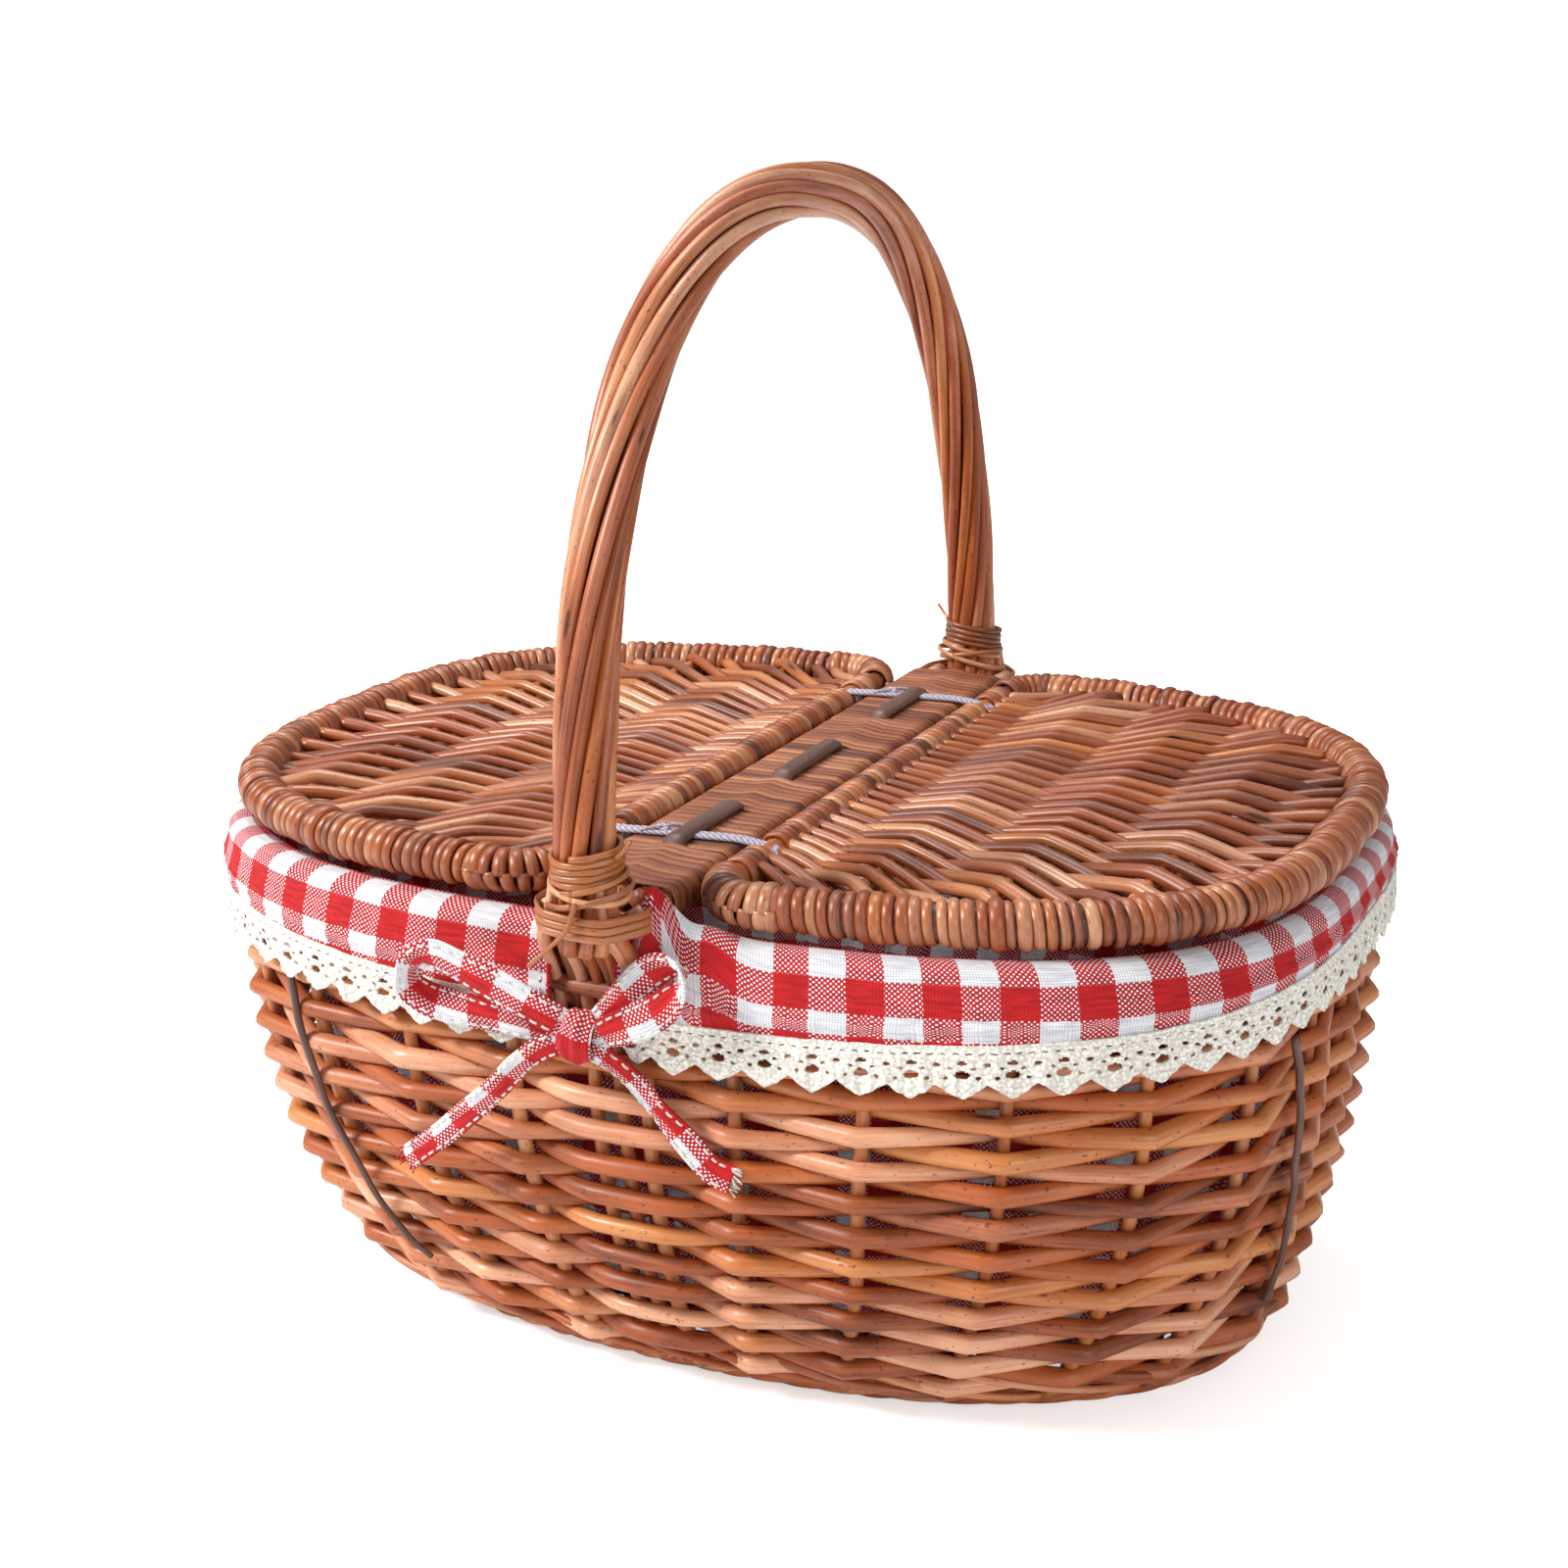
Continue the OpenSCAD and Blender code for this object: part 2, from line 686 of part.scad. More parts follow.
at_left() lid_corner_bindings();  // left_lid_corner_bindings
lid_hoop();  // right_lid_hoop
lid_hinge_rod();  // right_lid_hinge_rod
lid_ribs();  // right_lid_ribs
lid_weave();  // right_lid_weave
lid_corner_bindings();  // right_lid_corner_bindings
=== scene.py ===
"""Two-lid willow picnic basket with a gingham liner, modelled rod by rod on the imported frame."""

import logging
import math
from dataclasses import dataclass
from enum import Enum
from typing import Callable, List, Optional, Sequence, Tuple

import bpy
import numpy as np
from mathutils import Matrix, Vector


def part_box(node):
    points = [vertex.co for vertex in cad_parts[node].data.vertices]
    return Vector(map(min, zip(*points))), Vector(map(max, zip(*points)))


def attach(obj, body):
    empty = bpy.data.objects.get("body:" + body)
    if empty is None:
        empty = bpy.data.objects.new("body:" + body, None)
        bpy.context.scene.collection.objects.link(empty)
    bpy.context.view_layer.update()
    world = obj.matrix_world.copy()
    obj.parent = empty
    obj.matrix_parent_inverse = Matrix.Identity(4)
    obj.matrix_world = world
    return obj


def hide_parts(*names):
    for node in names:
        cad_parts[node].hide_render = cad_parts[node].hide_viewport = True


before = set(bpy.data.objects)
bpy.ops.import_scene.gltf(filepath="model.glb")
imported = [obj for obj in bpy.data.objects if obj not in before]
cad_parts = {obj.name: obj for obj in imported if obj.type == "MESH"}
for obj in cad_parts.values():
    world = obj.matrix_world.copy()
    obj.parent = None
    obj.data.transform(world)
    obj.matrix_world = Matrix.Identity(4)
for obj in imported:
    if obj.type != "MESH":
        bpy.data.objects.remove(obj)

LOG = logging.getLogger("basket")
MM = 0.001
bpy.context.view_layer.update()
FOOT_EASE = 6 * MM  # how far the loose lowest rods stand outside the border
STITCH_R = 0.42 * MM
UP = np.array([0.0, 0.0, 1.0])
ALONG_X = np.array([1.0, 0.0, 0.0])
ALONG_Y = np.array([0.0, 1.0, 0.0])
HALF_TURN = (-1, -1, 1)  # about the upright axis

Array = np.ndarray
Ripple = Callable[[Array, Array], Array]
Socket = bpy.types.NodeSocket


class Slot(Enum):
    """The record's material slots."""

    WILLOW = "willow"
    WILLOW_DARK = "willow_dark"
    CANE = "cane"
    GREY_STICK = "grey_stick"
    TWINE = "twine"
    GINGHAM = "gingham"
    LACE = "lace"


class Side(Enum):
    """Which end of the basket a paired piece belongs to."""

    RIGHT = 1
    LEFT = -1


# ---- sums and shapes


def unit(v: Array) -> Array:
    """Vectors scaled to length one, along the last axis."""
    return v / np.maximum(np.linalg.norm(v, axis=-1, keepdims=True), 1e-9)


def lerp(a: Array, b: Array, f: Array) -> Array:
    """Straight mix from a to b."""
    return a + (b - a) * f


def ramp(x: Array, low: float, high: float) -> Array:
    """0 below low, 1 above high, smooth in between."""
    f = np.clip((x - low) / (high - low), 0.0, 1.0)
    return f * f * (3 - 2 * f)


def lengths(path: Array) -> Array:
    """Distance along a path at each of its points."""
    return np.concatenate([[0.0], np.cumsum(np.linalg.norm(np.diff(path, axis=0), axis=1))])


def spots(x: Array, y: Array, z: Array) -> Array:
    """Points from their three coordinates, each one number or many."""
    return np.stack(np.broadcast_arrays(x, y, z), axis=-1)


def at_length(path: Array, along: Array, where: Array) -> Array:
    """Points of a path at the distances asked for; along holds the path's own lengths."""
    return np.stack([np.interp(where, along, path[:, k]) for k in range(3)], axis=-1)


def half_turn(points: Array, wanted: bool) -> Array:
    """Points turned to the opposite side of the basket when wanted."""
    return points * HALF_TURN if wanted else points


def resample(path: Array, step: float) -> Array:
    """The same path with points about step apart.

    Args:
        path: Points of the path, in metres.
        step: Wanted distance between points, in metres.

    Returns:
        The new points, ends kept.
    """
    along = lengths(path)
    n = max(int(round(along[-1] / step)), 2)
    wanted = np.linspace(0, along[-1], n + 1)
    return at_length(path, along, wanted)


def smooth(path: Array, rounds: int = 2) -> Array:
    """A path with its kinks eased, its ends kept.

    Args:
        path: Points of the path.
        rounds: How often each point is moved towards its neighbours.

    Returns:
        The eased points.
    """
    out = path.copy()
    for _ in range(rounds):
        out[1:-1] = 0.25 * out[:-2] + 0.5 * out[1:-1] + 0.25 * out[2:]
    return out


def curve_through(points: Sequence[Sequence[float]], step: float = 0.002, rounds: int = 10) -> Array:
    """A soft curve led by a few points in millimetres.

    Args:
        points: Corner points in millimetres.
        step: Distance between the points of the result, in metres.
        rounds: How much the corners are eased.

    Returns:
        The curve's points in metres.
    """
    return resample(smooth(resample(np.array(points, float) * MM, step), rounds), step)


def draws(seed: int) -> np.random.Generator:
    """A source of random draws, the same on every run."""
    return np.random.default_rng(seed)


class Wander:
    """A smooth random wave, the same on every run."""

    def __init__(self, rng: np.random.Generator, longest: float, waves: int = 4) -> None:
        """Args: rng gives the wave its phases, longest is its longest wavelength."""
        self.freq = 2 * math.pi / (longest * rng.uniform(0.25, 1.0, waves))
        self.phase = rng.uniform(0, 2 * math.pi, waves)
        self.size = rng.uniform(0.5, 1.0, waves)
        self.size /= self.size.sum()

    def __call__(self, x: Array) -> Array:
        """The wave's height, within -1 and 1, at x."""
        x = np.asarray(x, float)
        return (np.sin(x[..., None] * self.freq + self.phase) * self.size).sum(-1)


@dataclass(frozen=True)
class BodyShape:
    """The oval body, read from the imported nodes; every size is in metres."""

    rim_a: float
    rim_b: float
    base_a: float
    base_b: float
    wall_top: float
    wall_t: float
    border_z: float
    border_r: float
    rim_n: float = 2.9
    base_n: float = 2.25
    swell: float = 2.6
    balance: float = 0.86
    stakes: int = 28

    @classmethod
    def from_frame(cls) -> "BodyShape":
        """The shape as the frame holds it.

        Returns:
            The shape.
        """
        weave_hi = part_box("side_weave")[1]
        foot_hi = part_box("foot_border")[1]
        border_lo, border_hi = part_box("rim_border")
        border_r = (border_hi[2] - border_lo[2]) / 2
        wall_t = 2 * (weave_hi[0] + border_r - border_hi[0])
        return cls(rim_a=weave_hi[0], rim_b=weave_hi[1], base_a=foot_hi[0] + FOOT_EASE,
                   base_b=foot_hi[1] + FOOT_EASE, wall_top=weave_hi[2], wall_t=wall_t,
                   border_z=(border_hi[2] + border_lo[2]) / 2, border_r=border_r)

    def rise(self, z: Array) -> Array:
        """Swell of the wall at height z, 0 at the base and 1 at the top."""
        return 1 - (1 - np.clip(z / self.wall_top, 0, 1)) ** self.swell

    def at(self, t: Array, z: Array, off: Array = 0.0) -> Array:
        """Point on the wall towards angle t at height z, moved out by off.

        Args:
            t: Angle in radians.
            z: Height in metres.
            off: Distance outwards in metres.

        Returns:
            The points, with x, y and z last.
        """
        t, z, off = np.broadcast_arrays(np.asarray(t, float), np.asarray(z, float), np.asarray(off, float))
        r = self.rise(z)
        a = self.base_a + (self.rim_a - self.base_a) * r + off
        b = self.base_b + (self.rim_b - self.base_b) * r + off
        n = self.base_n + (self.rim_n - self.base_n) * r
        x, y = np.cos(t), self.balance * np.sin(t)
        k = (np.abs(x / a) ** n + np.abs(y / b) ** n) ** (1 / n)
        return spots(x / k, y / k, z)

    def middle(self, t: Array, z: Array, off: Array = 0.0) -> Array:
        """Point half way through the wall towards angle t at height z, moved out by off."""
        return self.at(t, z, off - self.wall_t / 2)

    def out(self, t: Array, z: Array) -> Array:
        """Level direction square to the wall at angle t and height z.

        Args:
            t: Angle in radians.
            z: Height in metres.

        Returns:
            Directions of length one.
        """
        p0, p1 = self.at(t - 0.01, z), self.at(t + 0.01, z)
        d = unit(p1 - p0)
        return spots(d[..., 1], -d[..., 0], 0.0)

    def stake_angle(self, k: Array) -> Array:
        """Angle of the kth stake, counted from the +X end."""
        return 2 * math.pi * np.asarray(k, float) / self.stakes


# ---- meshes


@dataclass
class Strand:
    """One rod, cane or twine: a path with a radius at each point.

    Attributes:
        path: Centre points in metres.
        radius: Half width at each point.
        tone: Random colour number of this rod, 0 to 1.
        flat: Thickness as a share of the width.
        up: Direction of the thickness, one or one for each point.
        sides: Sides of the section.
    """

    path: Array
    radius: Array
    tone: float
    flat: float = 1.0
    up: Optional[Array] = None
    sides: int = 8


class Sheaf:
    """Gathers strands and turns them into one mesh with grain coordinates."""

    def __init__(self, name: str) -> None:
        """Args: name is the piece's name."""
        self.name = name
        self.strands: List[Strand] = []

    def add(self, path: Array, radius: object, tone: float, **more: object) -> None:
        """One more strand; radius is one number or one for each point."""
        r = np.broadcast_to(np.asarray(radius, float), (len(path),)).copy()
        self.strands.append(Strand(np.asarray(path, float), r, float(tone), **more))

    @staticmethod
    def rings(s: Strand) -> Array:
        """The strand's section rings, points by sides by three.

        Args:
            s: The strand.

        Returns:
            Points by sides by three.
        """
        tangent = unit(np.gradient(s.path, axis=0))
        up = np.broadcast_to(UP if s.up is None else np.asarray(s.up, float), s.path.shape)
        side = unit(np.cross(tangent, up))
        lift = np.cross(side, tangent)
        angle = -math.pi / 2 + 2 * math.pi * np.arange(s.sides) / s.sides
        wide = np.cos(angle)[None, :, None] * s.radius[:, None, None]
        tall = np.sin(angle)[None, :, None] * s.radius[:, None, None] * s.flat
        return s.path[:, None, :] + side[:, None, :] * wide + lift[:, None, :] * tall

    def build(self) -> bpy.types.Object:
        """Makes the mesh object.

        Returns:
            The new object, with the UV layer "Rod" (metres along, turns round) and the attribute "tone".
        """
        points, tones, corners, starts, uvs = [], [], [], [], []
        base, corner_count = 0, 0
        for s in self.strands:
            ring = self.rings(s)
            n, m = ring.shape[:2]
            along = lengths(s.path) + s.tone * 3.7
            points.append(ring.reshape(-1, 3))
            tones.append(np.full(n * m, s.tone))
            i, j = np.meshgrid(np.arange(n - 1), np.arange(m), indexing="ij")
            k = (j + 1) % m
            quads = np.stack([i * m + j, (i + 1) * m + j, (i + 1) * m + k, i * m + k], axis=-1).reshape(-1)
            u = np.stack([along[i], along[i + 1], along[i + 1], along[i]], axis=-1).reshape(-1)
            v = np.stack([j / m, j / m, (j + 1) / m, (j + 1) / m], axis=-1).reshape(-1)
            corners.append(quads + base)
            uvs.append(np.stack([u, v], axis=-1))
            starts.append(corner_count + 4 * np.arange((n - 1) * m))
            corner_count += 4 * (n - 1) * m
            for first, order in ((0, np.arange(m)), ((n - 1) * m, np.arange(m)[::-1])):
                corners.append(base + first + order)
                uvs.append(np.stack([along[0] + 0.3 * s.radius[0] * np.cos(order), order / m], axis=-1))
                starts.append(np.array([corner_count]))
                corner_count += m
            base += n * m
        return mesh_object(self.name, np.concatenate(points), np.concatenate(corners), np.concatenate(starts),
                           {"Rod": np.concatenate(uvs)}, {"tone": np.concatenate(tones)})


def mesh_object(name: str, points: Array, corners: Array, starts: Array, uvs: dict, values: dict,
                soft: bool = True) -> bpy.types.Object:
    """Makes a mesh object from plain arrays.

    Args:
        name: The object's name.
        points: Vertices in metres.
        corners: Vertex number of each face corner.
        starts: First corner of each face.
        uvs: Named UV layers, one pair for each corner.
        values: Named numbers, one for each vertex.
        soft: Whether faces are shaded smooth.

    Returns:
        The object, linked to the scene.
    """
    mesh = bpy.data.meshes.new(name)
    mesh.vertices.add(len(points))
    mesh.vertices.foreach_set("co", np.ascontiguousarray(points, np.float32).ravel())
    mesh.loops.add(len(corners))
    mesh.loops.foreach_set("vertex_index", np.ascontiguousarray(corners, np.int32))
    mesh.polygons.add(len(starts))
    mesh.polygons.foreach_set("loop_start", np.ascontiguousarray(starts, np.int32))
    mesh.polygons.foreach_set("use_smooth", np.full(len(starts), soft))
    for label, uv in uvs.items():
        mesh.uv_layers.new(name=label).data.foreach_set("uv", np.ascontiguousarray(uv, np.float32).ravel())
    for label, value in values.items():
        layer = mesh.attributes.new(label, "FLOAT", "POINT")
        layer.data.foreach_set("value", np.ascontiguousarray(value, np.float32))
    mesh.update(calc_edges=True)
    obj = bpy.data.objects.new(name, mesh)
    bpy.context.scene.collection.objects.link(obj)
    return obj


class Cloth:
    """A sheet laid out as a grid, with the cut cloth's own measure as its UV layer."""

    def __init__(self, name: str, grid: Array, along: Array, down: Array,
                 keep: Optional[Array] = None, ring: bool = False) -> None:
        """A grid of points with its measure.

        Args:
            name: The piece's name.
            grid: Points, rows by columns by three.
            along: Measure in metres of each column or point, along the cloth.
            down: Measure in metres of each row or point, across it.
            keep: Which cells stay, rows by columns; all of them when None.
            ring: Whether the last column joins the first.
        """
        self.name = name
        self.grid = grid
        self.along = np.broadcast_to(along, grid.shape[:2])
        self.down = np.broadcast_to(down if np.ndim(down) == 2 else np.asarray(down)[:, None], grid.shape[:2])
        self.keep = keep
        self.ring = ring

    def build(self, thick: float, double: bool = False) -> bpy.types.Object:
        """Makes the cloth's mesh.

        Args:
            thick: Thickness in metres.
            double: Whether one level of subdivision is added.

        Returns:
            The new object, with the UV layer "Cloth" in metres.
        """
        rows, cols = self.grid.shape[:2]
        i, j = np.meshgrid(np.arange(rows - 1), np.arange(cols - 1), indexing="ij")
        if self.keep is not None:
            i, j = i[self.keep], j[self.keep]
        i, j = i.reshape(-1), j.reshape(-1)
        quad = [(i, j), (i, j + 1), (i + 1, j + 1), (i + 1, j)]
        number = np.arange(rows * cols).reshape(rows, cols)
        corners = np.stack([number[a, b] for a, b in quad], axis=-1).reshape(-1)
        uv = np.stack([np.stack([self.along[a, b], self.down[a, b]], axis=-1) for a, b in quad], axis=1)
        used, corners = np.unique(corners, return_inverse=True)
        obj = mesh_object(self.name, self.grid.reshape(-1, 3)[used], corners, 4 * np.arange(len(i)),
                          {"Cloth": uv.reshape(-1, 2)}, {})
        if self.ring:
            weld = obj.modifiers.new("join", "WELD")
            weld.merge_threshold = 0.00005
        if double:
            rounder = obj.modifiers.new("round", "SUBSURF")
            rounder.levels = rounder.render_levels = 1
        skin = obj.modifiers.new("thickness", "SOLIDIFY")
        skin.thickness = thick
        skin.offset = 0.0
        return obj


# ---- finishes


def stain(code: str) -> Tuple[float, float, float, float]:
    """A colour in linear light from its usual six-figure code."""
    parts = [int(code[k:k + 2], 16) / 255 for k in (1, 3, 5)]
    return tuple(c / 12.92 if c <= 0.04045 else ((c + 0.055) / 1.055) ** 2.4 for c in parts) + (1.0,)


class Wiring:
    """Short calls for adding nodes to a material or a node group."""

    def __init__(self, tree: bpy.types.NodeTree) -> None:
        """Args: tree is what the nodes go into."""
        self.tree = tree

    def node(self, kind: str, values: Optional[dict] = None, **settings: object) -> bpy.types.Node:
        """A new node; values fill its sockets by name or number, with a number, colour or another socket.

        Args:
            kind: Blender's name for the node.
            values: What its sockets hold.
            settings: What its own settings hold.

        Returns:
            The node.
        """
        made = self.tree.nodes.new(kind)
        for key, value in settings.items():
            setattr(made, key, value)
        for key, value in (values or {}).items():
            self.feed(made.inputs[key], value)
        return made

    def feed(self, socket: Socket, value: object) -> None:
        """Links a socket to value, or sets it.

        Args:
            socket: The input socket.
            value: A number, a colour or the output socket to link.
        """
        if isinstance(value, Socket):
            self.tree.links.new(value, socket)
        else:
            socket.default_value = value

    def sum(self, how: str, a: object, b: object = 0.0, c: object = 0.0) -> Socket:
        """The result of one sum on up to three values."""
        return self.node("ShaderNodeMath", {0: a, 1: b, 2: c}, operation=how).outputs[0]

    def scale(self, value: object, low: float, high: float, to_low: float = 0.0,
              to_high: float = 1.0) -> Socket:
        """A value moved from one range to another, and held inside it."""
        ends = {"Value": value, "From Min": low, "From Max": high, "To Min": to_low, "To Max": to_high}
        return self.node("ShaderNodeMapRange", ends, interpolation_type="SMOOTHSTEP").outputs[0]

    def mix(self, f: object, a: object, b: object, how: str = "MIX") -> Socket:
        """Two colours mixed.

        Args:
            f: Share of the second colour.
            a: First colour.
            b: Second colour.
            how: How they are mixed.

        Returns:
            The mixed colour.
        """
        made = self.node("ShaderNodeMix", data_type="RGBA", blend_type=how)
        for number, value in ((0, f), (6, a), (7, b)):
            self.feed(made.inputs[number], value)
        return made.outputs[2]

    def noise(self, where: object, scale: float, detail: float = 3.0,
              rough: float = 0.5) -> Socket:
        """Cloudy noise at a place."""
        return self.node("ShaderNodeTexNoise", {"Vector": where, "Scale": scale, "Detail": detail,
                                                "Roughness": rough}).outputs["Fac"]

    def place(self, x: object, y: object, z: object = 0.0) -> Socket:
        """A vector from three values."""
        return self.node("ShaderNodeCombineXYZ", {0: x, 1: y, 2: z}).outputs[0]

    def split(self, vector: object) -> Tuple[Socket, Socket]:
        """The first two values of a vector."""
        apart = self.node("ShaderNodeSeparateXYZ", {0: vector})
        return apart.outputs[0], apart.outputs[1]

    def times(self, a: object, b: object) -> Socket:
        """a times b."""
        return self.sum("MULTIPLY", a, b)

    def raise_by(self, shader: bpy.types.Node, height: object, strength: float, depth: float) -> None:
        """Gives a surface its relief, depth metres deep where height is 1."""
        relief = self.node("ShaderNodeBump", {"Height": height, "Strength": strength, "Distance": depth})
        self.feed(shader.inputs["Normal"], relief.outputs[0])


class SharedEffect:
    """A node group that several materials use, built once; each kind names its sockets."""

    name = ""
    inputs: Tuple[Tuple[str, float], ...] = ()
    outputs: Tuple[Tuple[str, str], ...] = ()
    tree: Optional[bpy.types.NodeTree] = None

    @classmethod
    def get(cls) -> bpy.types.NodeTree:
        """Makes the node group on first use.

        Returns:
            The node group.
        """
        if cls.tree is None:
            cls.tree = bpy.data.node_groups.new(cls.name, "ShaderNodeTree")
            sockets = cls.tree.interface
            for label, value in cls.inputs:
                sockets.new_socket(label, in_out="INPUT", socket_type="NodeSocketFloat").default_value = value
            for label, kind in cls.outputs:
                sockets.new_socket(label, in_out="OUTPUT", socket_type=f"NodeSocket{kind}")
            w = Wiring(cls.tree)
            out = w.node("NodeGroupOutput")
            for label, value in cls.wire(w, w.node("NodeGroupInput").outputs).items():
                w.feed(out.inputs[label], value)
        return cls.tree

    @classmethod
    def wire(cls, w: Wiring, given: bpy.types.NodeOutputs) -> dict:
        """Adds the effect's nodes, from the group's inputs, and gives the value of each output."""
        raise NotImplementedError


class RodGrain(SharedEffect):
    """Shared effect: the bark-less grain of a willow rod, with its streaks, flecks and bud scars."""

    name = "rod_grain"
    inputs = (("Streaks", 0.75), ("Blotches", 0.75), ("Drift", 0.6), ("Spread", 0.66))
    outputs = (("Tone", "Float"), ("Tint", "Float"), ("Dark", "Float"), ("Height", "Float"))
    middle_tone = 0.56

    @classmethod
    def wire(cls, w: Wiring, given: bpy.types.NodeOutputs) -> dict:
        """Adds the grain's nodes.

        Args:
            w: The group's wiring.
            given: How strongly streaks, blotches, slow drift and the rod's own tone show.

        Returns:
            The rod's tone and tint, its dark marks and its relief.
        """
        u, v = w.split(w.node("ShaderNodeUVMap", uv_map="Rod").outputs[0])
        tone = w.node("ShaderNodeAttribute", attribute_name="tone").outputs["Fac"]
        seed = w.times(tone, 61.7)
        streak = w.noise(w.place(w.times(u, 45.0), w.times(v, 19.0), seed), 1.0, 4.0, 0.62)
        blotch = w.noise(w.place(w.times(u, 26.0), w.times(v, 1.6), seed), 1.0, 3.0, 0.55)
        drift = w.noise(w.place(w.times(u, 7.0), seed, 3.1), 1.0, 2.0)
        fleck = w.noise(w.place(w.times(u, 420.0), w.times(v, 13.0), seed), 1.0, 2.0, 0.6)
        fleck = w.scale(fleck, 0.64, 0.71)
        scar_at = w.place(w.times(u, 15.0), w.times(v, 1.3), seed)
        scar = w.node("ShaderNodeTexVoronoi", {"Vector": scar_at, "Scale": 1.0}).outputs["Distance"]
        spot = w.scale(scar, 0.055, 0.10, 1.0, 0.0)
        halo = w.scale(scar, 0.09, 0.22, 1.0, 0.0)
        level = cls.middle_tone
        for value, share in ((streak, "Streaks"), (blotch, "Blotches"), (drift, "Drift"), (tone, "Spread")):
            level = w.sum("MULTIPLY_ADD", w.sum("SUBTRACT", value, 0.5), given[share], level)
        tint = w.sum("FRACT", w.times(tone, 7.31))
        dark = w.sum("MAXIMUM", w.times(fleck, 0.7), w.times(spot, 0.85))
        dark = w.sum("MAXIMUM", dark, w.times(halo, 0.30))
        height = w.sum("MULTIPLY_ADD", streak, 0.6, w.times(spot, 0.9))
        return {"Tone": level, "Tint": tint, "Dark": dark, "Height": height}


class Gingham(SharedEffect):
    """Shared effect: red and white gingham, checked thread by thread."""

    name = "gingham_weave"
    inputs = (("Check", 11.6 * MM), ("Thread", 0.9 * MM))
    outputs = (("Color", "Color"), ("Height", "Float"))

    @classmethod
    def wire(cls, w: Wiring, given: bpy.types.NodeOutputs) -> dict:
        """Adds the weave's nodes.

        Args:
            w: The group's wiring.
            given: The width of one check and of one thread, in metres.

        Returns:
            The cloth's colour, with painted shade in the gaps between the threads, and its relief.
        """
        uv = w.node("ShaderNodeUVMap", uv_map="Cloth").outputs[0]
        wobble = w.noise(uv, 55.0, 2.0)
        straight = w.split(uv)
        u, v = (w.sum("MULTIPLY_ADD", wobble, sway, line) for sway, line in zip((0.0016, 0.0014), straight))
        repeat = w.times(given["Check"], 2.0)
        bands = []
        for value in (u, v):
            turn = w.sum("FRACT", w.sum("DIVIDE", value, repeat))
            bands.append(w.scale(w.sum("ABSOLUTE", w.sum("SUBTRACT", turn, 0.5)), 0.245, 0.255))
        lines = [w.sum("DIVIDE", value, given["Thread"]) for value in (u, v)]
        even = [w.sum("FLOOR", x) for x in lines]
        over = w.sum("PINGPONG", w.sum("ADD", even[0], even[1]), 1.0)
        color = w.mix(over, *(w.place(band, band, band) for band in bands))
        rounds = [w.sum("SINE", w.times(w.sum("FRACT", x), math.pi)) for x in lines]
        relief = w.times(rounds[0], rounds[1])
        mixed = w.sum("ABSOLUTE", w.sum("SUBTRACT", bands[0], bands[1]))
        hidden = w.times(mixed, w.scale(relief, 0.30, 0.44, 1.0, 0.0))
        red_or_white = w.times(w.split(color)[0], w.sum("SUBTRACT", 1.0, hidden))
        slub = w.noise(w.place(w.times(u, 90.0), w.times(v, 700.0)), 1.0, 3.0)
        patch = w.scale(slub, 0.3, 0.7)
        red = w.mix(patch, stain("#b0060f"), stain("#d8171d"))
        white = w.mix(patch, stain("#dcdde6"), stain("#fbfbff"))
        shade = w.mix(red_or_white, red, white)
        # painted shade: the colour is darkened towards black where the threads dip, in the gaps between them
        thread_gap_shade = w.mix(w.scale(relief, 0.0, 0.55, 0.62, 1.0), (0, 0, 0, 1), shade)
        return {"Color": thread_gap_shade, "Height": relief}


@dataclass(frozen=True)
class Finish:
    """A finish on the usual surface shader; each kind adds its own nodes."""

    name: str

    def material(self) -> bpy.types.Material:
        """Builds the material.

        Returns:
            The new material.
        """
        mat = bpy.data.materials.new(self.name)
        mat.use_nodes = True
        self.wire(Wiring(mat.node_tree), mat.node_tree.nodes["Principled BSDF"])
        return mat

    def wire(self, w: Wiring, shader: bpy.types.Node) -> None:
        """Adds the finish's nodes and wires them to the shader."""
        raise NotImplementedError


@dataclass(frozen=True)
class WillowFinish(Finish):
    """Stained willow: two families of brown, one warmer and one pinker."""

    deep: str = "#481a09"
    warm: str = "#b45a26"
    warm_light: str = "#d68c50"
    pink: str = "#c0714a"
    pink_light: str = "#efb48e"
    scar: str = "#260c04"
    rough: float = 0.43
    coat: float = 0.22
    coat_rough: float = 0.32
    bump: float = 0.35
    grain_depth: float = 0.4 * MM
    streaks: float = 0.75
    blotches: float = 0.75

    def wire(self, w: Wiring, shader: bpy.types.Node) -> None:
        """Stains the grain.

        Args:
            w: The material's wiring.
            shader: Its surface shader.
        """
        shares = {"Streaks": self.streaks, "Blotches": self.blotches}
        grain = w.node("ShaderNodeGroup", shares, node_tree=RodGrain.get()).outputs
        tone = grain["Tone"]
        warm = w.mix(w.scale(tone, 0.45, 1.05), stain(self.warm), stain(self.warm_light))
        pink = w.mix(w.scale(tone, 0.40, 1.00), stain(self.pink), stain(self.pink_light))
        body = w.mix(w.scale(grain["Tint"], 0.25, 0.85), warm, pink)
        body = w.mix(w.scale(tone, -0.05, 0.52, 0.9, 0.0), body, stain(self.deep))
        w.feed(shader.inputs["Base Color"], w.mix(grain["Dark"], body, stain(self.scar)))
        w.feed(shader.inputs["Roughness"], w.scale(tone, 0.2, 0.9, self.rough + 0.1, self.rough - 0.06))
        shader.inputs["Coat Weight"].default_value = self.coat
        shader.inputs["Coat Roughness"].default_value = self.coat_rough
        w.raise_by(shader, grain["Height"], self.bump, self.grain_depth)


